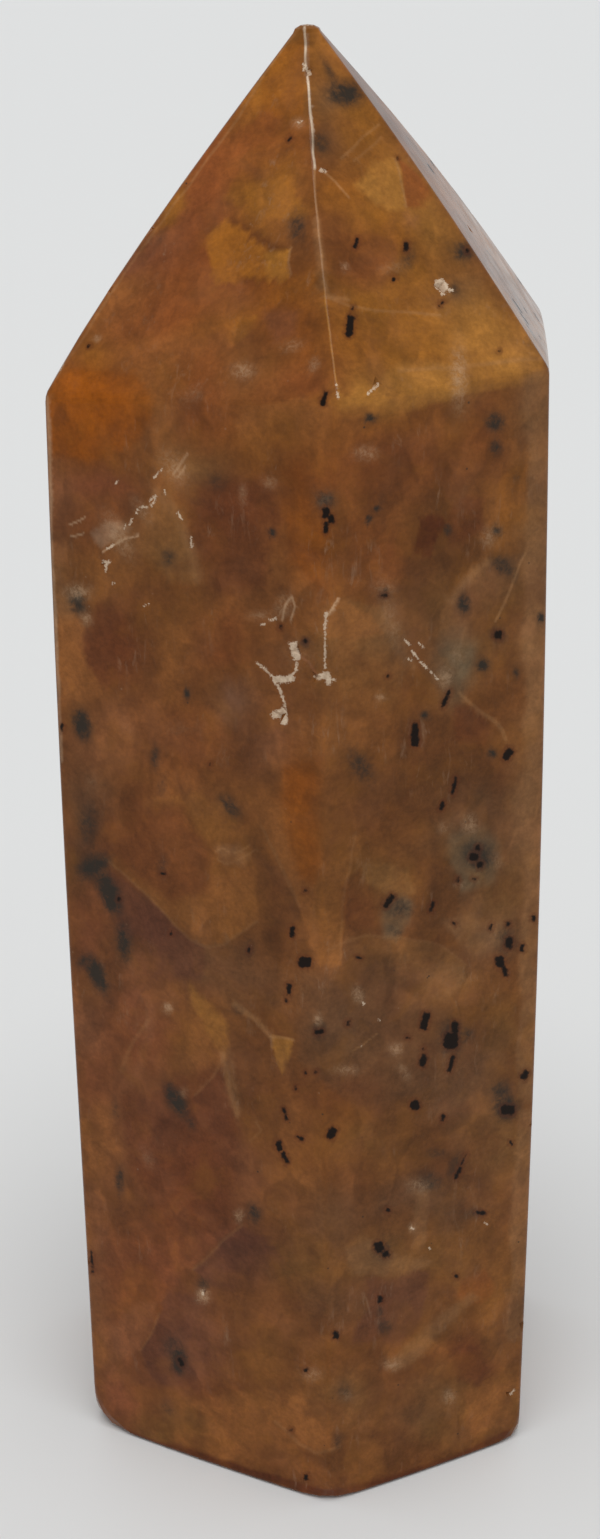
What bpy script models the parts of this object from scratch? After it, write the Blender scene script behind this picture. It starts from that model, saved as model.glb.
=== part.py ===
"""A polished six-sided point of orchid calcite: one solid stone, sawn flat below and cut to a point above.

Metres, +Z up. The origin is the middle of the base, and the stone's foremost upright edge faces -Y.
"""

import math
from collections import namedtuple

import bmesh
import bpy
from mathutils import Matrix, Vector

MM = 0.001

# Driving dimensions, in millimetres
APEX = Vector((0.24, -0.72, 100.78))  # where the six ridges would meet if the tip weren't worn
TIP_TOP = 100.2  # height of the worn tip
TIP_RADIUS = 0.9  # half the width of the worn tip where it leaves the ridges
EDGE_RADIUS = 0.45  # rounding of the upright edges
RIDGE_RADIUS = 0.3  # rounding of the ridges that climb to the tip
SHOULDER_REACH = 0.35  # how far the rounding of the shoulder reaches down and up from it
FOOT_RADIUS = 0.35  # rounding round the base
WEAR_SPREAD = 2.0  # how widely a corner worn at the base is rounded, for each millimetre of wear
FACE_CROWN = 0.1  # how far each hand-polished face swells at its middle
STONE_COLOUR = (0.17, 0.066, 0.024)
STONE_ROUGHNESS = 0.22
STONE_IOR = 1.6

# How finely the rounded forms are drawn
SIDE_STEPS = 5
CORNER_STEPS = 3
FOOT_STEPS = 4
WEAR_STEPS = 4
BODY_STEPS = 9
POINT_STEPS = 7
TIP_STEPS = 3
SMOOTH_ANGLE = math.radians(30)

# Each upright edge runs from its foot to its shoulder, bowed by edge_bow, and its ridge runs on to the apex,
# bowed by ridge_bow. Where a skew is above 1 the bow sits high, and below 1 it sits low. foot_wear is how
# far up the corner is worn round at the base.
Corner = namedtuple("Corner", "foot shoulder edge_bow edge_skew ridge_bow ridge_skew foot_wear")

# The six corners, counter-clockwise seen from above
CORNERS = {
    "front": Corner((1.06, -17.88), (1.78, -17.42, 80.3), (-0.72, 0), 1.5, (-0.42, -0.1, 0.1), 1.3, 3.0),
    "front_right": Corner((15.42, -10.74), (14.99, -10.39, 80.5), (0.37, 0), 1.1, (0.30, 0, 0.1), 1.0, 2.2),
    "back_right": Corner((16.39, 8.40), (16.43, 8.32, 80.5), (0.10, 0.1), 1.1, (0.42, 0, 0.25), 1.0, 1.5),
    "back": Corner((-0.66, 17.66), (-0.66, 17.51, 79.9), (0.35, 0.1), 1.3, (0.10, 0.3, 0.2), 1.0, 1.2),
    "back_left": Corner((-15.30, 8.68), (-15.10, 8.59, 79.7), (-0.10, 0.2), 1.0, (-0.20, 0.2, 0.1), 1.0, 1.6),
    "front_left": Corner((-16.41, -8.72), (-16.41, -8.59, 78.6), (-0.25, 0), 1.5, (-0.48, 0, 0.2), 0.75, 3.6),
}
ORDER = tuple(CORNERS)

# Damage: small bites along the stone's cleavage. Each has a depth in millimetres and a turn in degrees.
# On an edge the share runs up from foot to shoulder, and on a ridge from shoulder to apex.
EDGE_CHIPS = (
    ("front_right", 0.125, 0.32, 20),
    ("front_right", 0.335, 0.22, 75),
    ("front_left", 0.185, 0.25, 10),
    ("back", 0.62, 0.35, 40),
    ("back_left", 0.28, 0.40, 95),
    ("back_right", 0.80, 0.30, 55),
)
RIDGE_CHIPS = (
    ("front", 0.845, 0.20, 15),
    ("front_left", 0.275, 0.24, 70),
    ("front_left", 0.435, 0.22, 35),
    ("back", 0.55, 0.30, 10),
    ("back_right", 0.35, 0.28, 50),
)
# Pits in the faces: the corner on the face's left as seen from outside, the share of the way across to the
# next corner, the share of the way up, depth and turn.
BODY_PITS = (
    ("front_left", 0.843, 0.750, 0.28, 30),
    ("front_left", 0.898, 0.805, 0.24, 75),
    ("front_left", 0.965, 0.785, 0.22, 10),
    ("front_left", 0.201, 0.865, 0.13, 90),
    ("front_left", 0.503, 0.190, 0.13, 50),
    ("front", 0.930, 0.055, 0.15, 20),
    ("front_right", 0.55, 0.75, 0.20, 0),
    ("back_right", 0.35, 0.62, 0.26, 65),
    ("back", 0.60, 0.30, 0.22, 35),
    ("back", 0.30, 0.85, 0.18, 100),
    ("back_left", 0.40, 0.45, 0.24, 15),
)
POINT_PITS = (
    ("front", 0.676, 0.245, 0.28, 40),
    ("front", 0.187, 0.030, 0.20, 85),
    ("front", 0.120, 0.575, 0.12, 10),
    ("front_right", 0.40, 0.35, 0.22, 60),
    ("back", 0.50, 0.30, 0.20, 25),
)

# The blunt corner of a calcite cleavage piece: three edges, each this far from the corner's own axis
CLEAVAGE_LEAN = math.radians(63.7)
CUTTER_REACH = 3.0  # the length of a cutter's edges for each millimetre that it has to reach
CUTTER_CLEARANCE = 0.4  # how far a cutter stands out of the stone
EDGE_LOSS = 0.05  # what rounding has already taken off an edge where a chip is measured
RIDGE_RISE = 0.75  # how steeply a ridge faces up, for each millimetre that it faces out
SLOPE_STEP = 0.02  # the share of a face's height over which its slope is measured


def bowed(start, end, bow, share, skew):
    """A point on the line from start to end, pushed aside by bow in half a wave."""
    return start.lerp(end, share) + Vector(bow) * math.sin(math.pi * share**skew)


def edge_point(corner, share):
    """A point on an upright edge, from the foot at 0 to the shoulder at 1."""
    foot = Vector((*corner.foot, 0))
    return bowed(foot, Vector(corner.shoulder), (*corner.edge_bow, 0), share, corner.edge_skew)


def ridge_point(corner, share):
    """A point on a ridge, from the shoulder at 0 to the sharp apex at 1."""
    return bowed(Vector(corner.shoulder), APEX, corner.ridge_bow, share, corner.ridge_skew)


def swell(path, share):
    """How far a face swells at its middle, which on the point is less and less towards the tip."""
    return FACE_CROWN * (1 - share) if path is ridge_point else FACE_CROWN


def corner_frame(points, index):
    """The directions from a corner to its neighbours and into the ring between them, and half its angle."""
    back = (points[index - 1] - points[index]).normalized()
    ahead = (points[(index + 1) % len(points)] - points[index]).normalized()
    return back, ahead, (back + ahead).normalized(), back.angle(ahead) / 2


def rounded_ring(points, radii, crown):
    """The outline through the six corners, each rounded to its radius, with sides that swell by crown."""
    arcs = []
    for index, (point, radius) in enumerate(zip(points, radii)):
        back, ahead, into, half = corner_frame(points, index)
        centre = point + into * (radius / math.sin(half))
        first = point + back * (radius / math.tan(half)) - centre
        last = point + ahead * (radius / math.tan(half)) - centre
        turn_axis = first.cross(last)
        turn = first.angle(last)
        arcs.append([
            centre + Matrix.Rotation(turn * step / CORNER_STEPS, 3, turn_axis) @ first
            for step in range(CORNER_STEPS + 1)
        ])
    ring = []
    for arc, next_arc in zip(arcs, arcs[1:] + arcs[:1]):
        ring.extend(arc)
        side = next_arc[0] - arc[-1]
        outward = Vector((side.y, -side.x, 0.0)).normalized()
        for step in range(1, SIDE_STEPS):
            share = step / SIDE_STEPS
            ring.append(arc[-1] + side * share + outward * (4 * crown * share * (1 - share)))
    return ring


def foot_rings():
    """Rings up the rounded foot, where a worn corner draws in further than its neighbours."""
    rings = []
    highest_wear = max(corner.foot_wear for corner in CORNERS.values())
    above_foot = highest_wear - FOOT_RADIUS
    heights = [FOOT_RADIUS * (1 - math.cos(math.pi / 2 * step / FOOT_STEPS)) for step in range(FOOT_STEPS)]
    heights += [FOOT_RADIUS + above_foot * step / WEAR_STEPS for step in range(WEAR_STEPS + 1)]
    for height in heights:
        round_in = FOOT_RADIUS - math.sqrt(max(0.0, FOOT_RADIUS**2 - max(0.0, FOOT_RADIUS - height) ** 2))
        points = [edge_point(corner, height / corner.shoulder[2]) for corner in CORNERS.values()]
        drawn_in, radii = [], []
        for index, corner in enumerate(CORNERS.values()):
            into, half = corner_frame(points, index)[2:]
            gap = max(0.0, corner.foot_wear - height)
            wear = corner.foot_wear - math.sqrt(corner.foot_wear**2 - gap**2)
            point = points[index] + into * (round_in / math.sin(half))
            point.z = height
            drawn_in.append(point)
            radii.append(EDGE_RADIUS + WEAR_SPREAD * wear)
        rings.append(rounded_ring(drawn_in, radii, FACE_CROWN))
    return rings


def body_rings(lowest):
    """Rings up the upright faces, from just above the foot to just below the shoulder."""
    rings = []
    for step in range(1, BODY_STEPS + 1):
        points = []
        for corner in CORNERS.values():
            top = 1 - SHOULDER_REACH / corner.shoulder[2]
            bottom = lowest / corner.shoulder[2]
            points.append(edge_point(corner, bottom + (top - bottom) * step / BODY_STEPS))
        rings.append(rounded_ring(points, [EDGE_RADIUS] * len(points), FACE_CROWN))
    return rings


def point_rings():
    """Rings from the shoulder up the slanting facets to where the worn tip begins."""
    start = SHOULDER_REACH / (APEX - Vector(CORNERS["front"].shoulder)).length
    end = 1 - TIP_RADIUS / Vector(CORNERS["back"].shoulder).xy.length
    below = [edge_point(corner, 1 - SHOULDER_REACH / corner.shoulder[2]) for corner in CORNERS.values()]
    above = [ridge_point(corner, start) for corner in CORNERS.values()]
    turn = [
        (low + Vector(corner.shoulder) * 2 + high) / 4
        for low, corner, high in zip(below, CORNERS.values(), above)
    ]
    rings = [rounded_ring(turn, [EDGE_RADIUS] * len(turn), FACE_CROWN)]
    for step in range(POINT_STEPS + 1):
        share = start + (end - start) * step / POINT_STEPS
        points = [ridge_point(corner, share) for corner in CORNERS.values()]
        rings.append(rounded_ring(points, [RIDGE_RADIUS] * len(points), swell(ridge_point, share)))
    return rings


def tip_rings(last_ring):
    """Rings over the worn tip, which is a low dome on the last ring of the facets."""
    rings = []
    for step in range(1, TIP_STEPS):
        angle = math.pi / 2 * step / TIP_STEPS
        ring = []
        for point in last_ring:
            height = point.z + (TIP_TOP - point.z) * math.sin(angle)
            flat = APEX.xy.lerp(point.xy, math.cos(angle))
            ring.append(Vector((*flat, height)))
        rings.append(ring)
    return rings


def stone_mesh():
    """The whole stone, closed: rings of points joined by quads, a flat base and a pole at the tip."""
    rings = foot_rings()
    rings += body_rings(rings[-1][0].z)
    rings += point_rings()
    rings += tip_rings(rings[-1])
    mesh = bmesh.new()
    loops = [[mesh.verts.new(point * MM) for point in ring] for ring in rings]
    count = len(loops[0])
    for lower, upper in zip(loops, loops[1:]):
        for index in range(count):
            beside = (index + 1) % count
            mesh.faces.new((lower[index], lower[beside], upper[beside], upper[index]))
    mesh.faces.new(reversed(loops[0]))
    pole = mesh.verts.new(Vector((*APEX.xy, TIP_TOP)) * MM)
    for index in range(count):
        mesh.faces.new((loops[-1][index], loops[-1][(index + 1) % count], pole))
    return mesh


def cleavage_cutter(mesh, at, outward, depth, turn):
    """Adds a cleavage corner that opens along outward, its point lying in the stone by depth from at."""
    upright = outward.normalized().to_track_quat("Z", "Y").to_matrix()
    length = (depth + CUTTER_CLEARANCE) * CUTTER_REACH
    corner = at - outward.normalized() * depth
    edges = []
    for third in range(3):
        heading = math.radians(turn) + third * math.tau / 3
        edges.append(upright @ Vector((
            math.sin(CLEAVAGE_LEAN) * math.cos(heading),
            math.sin(CLEAVAGE_LEAN) * math.sin(heading),
            math.cos(CLEAVAGE_LEAN),
        )) * length)
    first, second, third = edges
    places = [corner + first * i + second * j + third * k for k in (0, 1) for j in (0, 1) for i in (0, 1)]
    verts = [mesh.verts.new(place * MM) for place in places]
    for face in ((0, 2, 3, 1), (4, 5, 7, 6), (0, 1, 5, 4), (2, 6, 7, 3), (0, 4, 6, 2), (1, 3, 7, 5)):
        mesh.faces.new([verts[index] for index in face])


def neighbours(name):
    """The corners before and after a named one, going round."""
    index = ORDER.index(name)
    return CORNERS[ORDER[index - 1]], CORNERS[ORDER[(index + 1) % len(ORDER)]]


def add_edge_bites(mesh, chips, path, rise):
    """Chips along upright edges or ridges, whose outward direction tilts up by rise."""
    for name, share, depth, turn in chips:
        before, after = neighbours(name)
        here = path(CORNERS[name], share)
        middle = (path(before, share) + path(after, share)) / 2
        outward = (here - middle).normalized()
        outward = Vector((outward.x, outward.y, rise)).normalized()
        cleavage_cutter(mesh, here, outward, depth + EDGE_LOSS, turn)


def add_face_bites(mesh, pits, path):
    """Pits in the flat faces."""
    for name, across, share, depth, turn in pits:
        left, right = CORNERS[name], neighbours(name)[1]
        here = path(left, share).lerp(path(right, share), across)
        above = path(left, share + SLOPE_STEP).lerp(path(right, share + SLOPE_STEP), across)
        outward = (path(right, share) - path(left, share)).cross(above - here).normalized()
        raised = swell(path, share) * 4 * across * (1 - across)
        cleavage_cutter(mesh, here + outward * raised, outward, depth, turn)


def new_object(name, mesh):
    """Links a bmesh to the scene as an object of that name."""
    bmesh.ops.recalc_face_normals(mesh, faces=mesh.faces)
    data = bpy.data.meshes.new(name)
    mesh.to_mesh(data)
    mesh.free()
    made = bpy.data.objects.new(name, data)
    bpy.context.scene.collection.objects.link(made)
    return made


def stone_material():
    """Polished calcite in its middle brown-orange."""
    material = bpy.data.materials.new("orchid_calcite")
    material.use_nodes = True
    shader = material.node_tree.nodes["Principled BSDF"]
    shader.inputs["Base Color"].default_value = (*STONE_COLOUR, 1.0)
    shader.inputs["Roughness"].default_value = STONE_ROUGHNESS
    shader.inputs["IOR"].default_value = STONE_IOR
    return material


def main():
    """Builds the stone and bites its chips and pits out of it."""
    for old in list(bpy.data.objects):
        bpy.data.objects.remove(old)
    stone = new_object("calcite_point", stone_mesh())
    stone.data.materials.append(stone_material())
    bites = bmesh.new()
    add_edge_bites(bites, EDGE_CHIPS, edge_point, 0.0)
    add_edge_bites(bites, RIDGE_CHIPS, ridge_point, RIDGE_RISE)
    add_face_bites(bites, BODY_PITS, edge_point)
    add_face_bites(bites, POINT_PITS, ridge_point)
    cutter = new_object("damage_cutter", bites)
    cutter.hide_render = True
    cutter.display_type = "WIRE"
    damage = stone.modifiers.new("damage", "BOOLEAN")
    damage.operation = "DIFFERENCE"
    damage.object = cutter
    stone.data.shade_smooth()
    stone.data.set_sharp_from_angle(angle=SMOOTH_ANGLE)


main()
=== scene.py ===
"""Looks of a polished point of orchid calcite: clouded, cleaved and flecked stone on a pale floor.

Sizes are in millimetres until a mesh is made. Marks are placed by pixels of the 600 x 1539 photo, looking
through its camera onto the stone. The sides that the photo doesn't show get marks of the same kinds, drawn
at random from fixed seeds and looked at through the same camera turned a third of the way round.
"""

import math
from collections import namedtuple

import bpy
import numpy as np
from mathutils import Matrix, Vector, noise


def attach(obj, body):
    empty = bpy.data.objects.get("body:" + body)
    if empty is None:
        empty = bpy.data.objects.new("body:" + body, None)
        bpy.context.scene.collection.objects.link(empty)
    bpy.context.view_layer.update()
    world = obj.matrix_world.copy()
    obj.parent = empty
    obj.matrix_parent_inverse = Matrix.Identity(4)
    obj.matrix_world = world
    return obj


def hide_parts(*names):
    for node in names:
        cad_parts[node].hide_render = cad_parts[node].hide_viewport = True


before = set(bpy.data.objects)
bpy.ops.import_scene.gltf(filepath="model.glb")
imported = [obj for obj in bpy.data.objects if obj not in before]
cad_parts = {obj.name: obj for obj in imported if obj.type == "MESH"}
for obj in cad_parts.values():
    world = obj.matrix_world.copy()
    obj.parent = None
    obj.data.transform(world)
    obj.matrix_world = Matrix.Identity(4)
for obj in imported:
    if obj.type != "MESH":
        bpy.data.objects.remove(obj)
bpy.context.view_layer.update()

MM = 0.001

# The photo and its camera, with the clipping distances in metres
PHOTO_WIDTH, PHOTO_HEIGHT = 600, 1539
FOCAL_PIXELS = 2261.2
CAMERA_AT = Vector((-0.80, -148.61, 110.31))
CAMERA_TILT = math.radians(22.154)
CAMERA_YAW = math.radians(0.092)
CAMERA_ROLL = math.radians(-0.444)
SENSOR_SIZE = 36
CLIP_NEAR, CLIP_FAR = 0.005, 50

# The stone's colours, as linear albedo
PALETTE = {
    "body": (0.170, 0.058, 0.014),
    "tan": (0.210, 0.078, 0.017),
    "amber": (0.250, 0.083, 0.010),
    "gold": (0.310, 0.114, 0.013),
    "honey": (0.370, 0.155, 0.028),
    "orange": (0.235, 0.060, 0.003),
    "flame": (0.300, 0.074, 0.002),
    "rust": (0.255, 0.068, 0.014),
    "ember": (0.205, 0.056, 0.006),
    "clay": (0.180, 0.050, 0.012),
    "russet": (0.160, 0.049, 0.010),
    "brick": (0.128, 0.035, 0.010),
    "coral": (0.215, 0.062, 0.023),
    "mauve": (0.150, 0.052, 0.025),
    "rose": (0.245, 0.092, 0.038),
    "taupe": (0.135, 0.060, 0.025),
    "khaki": (0.205, 0.093, 0.028),
    "olive": (0.160, 0.070, 0.016),
    "peach": (0.400, 0.200, 0.080),
    "cream": (0.520, 0.330, 0.190),
    "haze": (0.330, 0.195, 0.115),
    "apricot": (0.275, 0.098, 0.024),
    "sand": (0.240, 0.112, 0.043),
    "umber": (0.130, 0.046, 0.012),
    "garnet": (0.100, 0.024, 0.007),
    "lilac": (0.175, 0.108, 0.078),
    "saffron": (0.375, 0.128, 0.013),
    "straw": (0.430, 0.170, 0.024),
    "plum": (0.115, 0.038, 0.019),
    "sage": (0.140, 0.108, 0.062),
    "slate": (0.028, 0.022, 0.016),
    "ink": (0.008, 0.003, 0.001),
    "white": (0.740, 0.580, 0.420),
}

# Colours that the marks of the hidden sides are drawn from
POINT_COLOURS = ("gold", "amber", "apricot", "honey", "rust")
CLOUD_COLOURS = ("amber", "apricot", "rust", "coral", "clay", "brick", "umber", "tan", "sand", "mauve",
                 "khaki")
BLOCK_COLOURS = ("gold", "tan", "plum", "clay", "khaki", "apricot", "umber")
SMUDGE_COLOURS = ("slate", "slate", "ink", "taupe")
VEIL_COLOURS = ("haze",)
LINE_COLOURS = ("peach", "haze")

# Hidden sides: how far the camera turns to see each one, in degrees, and the seed of its marks
HIDDEN_SIDES = ((120, 11), (-120, 23))

# Marks of a hidden side: how many of each kind, their half-widths or widths in pixels, and their strengths
Marks = namedtuple("Marks", "clouds patches smudges veils lines scars flecks")
Amount = namedtuple("Amount", "count size strength", defaults=(None,))
HIDDEN = Marks(
    clouds=Amount(90, (22, 60), (0.35, 0.75)),
    patches=Amount(30, (25, 75), (0.35, 0.60)),
    smudges=Amount(36, (6, 14), (0.40, 0.90)),
    veils=Amount(30, (5, 14), (0.30, 0.60)),
    lines=Amount(22, (1.6, 2.8), (0.30, 0.55)),
    scars=Amount(18, (1.6, 3.4)),
    flecks=Amount(85, (3, 8)),
)

# Where they may fall, in pixels, and their shapes, in ratios, degrees, pixels and, for a bend, radians.
# Clouds above SHOULDER take the colours of the point.
SPREAD_ACROSS, SPREAD_DOWN = (60, 540), (40, 1480)
SHOULDER = 390
BLOB_TALLNESS, BLOB_LEAN = (0.6, 1.6), (-45, 45)
BLOCK_CORNERS, BLOCK_TALLNESS, BLOCK_SOFTNESS = 6, 1.3, (4, 9)
LINE_STEPS, LINE_STRIDE = 2, 22
SCAR_STEPS, SCAR_STRIDE = 1, 6
STEP_BEND, STEP_LENGTHS = 0.6, (0.6, 1.4)
FLECK_SLENDERNESS, FLECK_LEAN, FLECK_LEAN_SPREAD = (1, 3), 12, 16

# How far outlines wander, in pixels, and the size of the wander in millimetres, with a finer one added
CLOUD_WANDER = 18
PATCH_WANDER = 5
BLOTCH_WANDER = 10
LINE_WANDER = 3
WANDER_SEED = 7
WANDER_SIZE = 4.0
FINE_WANDER_SIZE = WANDER_SIZE / 3
FINE_WANDER_SHARE = 0.45
FINE_WANDER_OFFSET = Vector((7, 3, 1))

# Outlines of marks: how fast a cloud fades and how far out it ends, how far a line and a blotch reach, all in
# widths or half-widths, where a fading block ends across itself, how round a fleck's ends are, and with what
# share of its strength a dark blotch also stains the stone round it
CLOUD_FALL = 0.9
CLOUD_FADE = 2.4
LINE_SPREAD = 1.3
BLOTCH_REACH = 1.2
FADE_END = 1.1
FLECK_ROUNDNESS = 0.7
STAIN = 0.25

# The mesh: for each kind of mark, the edge length at it in millimetres, how much longer an edge may be for
# each pixel away from it, and how many pixels out that starts
Fineness = namedtuple("Fineness", "edge growth margin")
SHORTEST_EDGE = 0.13
FINENESS = {
    "fleck": Fineness(0.15, 0.10, 1),
    "scar": Fineness(SHORTEST_EDGE, 0.10, 1),
    "border": Fineness(0.48, 0.07, 0),
    "line": Fineness(0.17, 0.10, 2),
    "blotch": Fineness(0.50, 0.10, 0),
}

# How far from a mark the distance to it is measured, in pixels, and the mesh away from marks, on the hidden
# sides and under the foot, in millimetres
MARK_REACH = 12.0
PLAIN_EDGE = 1.70
HIDDEN_COARSENESS = 1.8
FOOT_EDGE = 2.0
FOOT_HEIGHT = 0.02
MOST_ROUNDS = 12

# How far new points bulge out over a smooth edge, which edges are smooth and which are shaded sharp, and how
# far neighbouring sights blend into each other
EDGE_BULGE = 0.25
SMOOTH_COSINE = math.cos(math.radians(30))
SHARP_DEGREES = 32
BLEND_FACING = 0.15

# Textures in the stone: sizes in millimetres, colours and strengths, with stretches and turns of slanted ones
BROAD_MOTTLE, MIDDLE_MOTTLE, FINE_MOTTLE = 7.0, 1.4, 0.30
TINT_PATCHES = ((3.4, "gold", 0.24), (2.6, "brick", 0.26), (4.0, "rose", 0.24))
FACETS = (
    (5.0, (1.0, 1.0, 0.60), (0.35, 0.60, 0.20), 0.19),
    (2.0, (1.0, 0.8, 0.60), (-0.45, -0.55, 0.40), 0.14),
)
FACET_CONTRAST = 0.22
FACET_SOFTNESS = 0.35
BEND_SIZE, BEND = 2.5, 1.2
WISPS = (((0.3, 0.85, 0.3), 0.5, 0.38), ((-0.3, -0.65, 0.5), 0.7, 0.34))
WISP_STRETCH = (1.0, 1.0, 0.28)
WISP_PLACES = 5.0
GRAIN_SPACING = 1.1
DARK_GRAIN, PALE_GRAIN = 0.7, 0.30
SMUDGE_FEATHER, VEIL_FEATHER = 0.45, 0.32
FLECK_RAGGEDNESS, SCAR_RAGGEDNESS, BRUISE_MOTTLE = 0.3, 0.15, 0.30

# The stone's surface: gloss, roughness, and the heights that go into its bump, with sizes in millimetres
STONE_IOR = 1.5
STONE_GLOSS = 0.12
POLISH_SIZE = 2.2
POLISH = (0.12, 0.22)
SCAR_ROUGHNESS, FLECK_ROUGHNESS = 0.35, 0.12
UNEVEN_SIZE = 2.6
UNEVEN_HEIGHT, FLECK_DEPTH, SCAR_HEIGHT = 0.30, 0.05, 0.10
BUMP_DISTANCE, BUMP_STRENGTH = 0.1, 0.5

# The floor, in metres, and the light
FLOOR_SIZE = 8.0
FLOOR_COLOUR = (0.78, 0.78, 0.77)
FLOOR_ROUGHNESS = 0.9
SKY_COLOUR = (0.96, 0.98, 1.0)
SKY_STRENGTH = 0.62
OVERHEAD_FROM = (0.0, -0.25, 0.95)
OVERHEAD_STRENGTH = 1.15
OVERHEAD_SPREAD = math.radians(40)

Cloud = namedtuple("Cloud", "x y across down lean colour strength")
Patch = namedtuple("Patch", "corners colour strength soft fade", defaults=(None,))
Line = namedtuple("Line", "points width colour strength")
Fleck = namedtuple("Fleck", "x y length width lean")


def clouds_of(colour, rows):
    """Clouds of one colour, from rows of place, half-width, half-height, lean and strength."""
    return [Cloud(*place_and_size, colour, strength) for *place_and_size, strength in rows]


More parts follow.
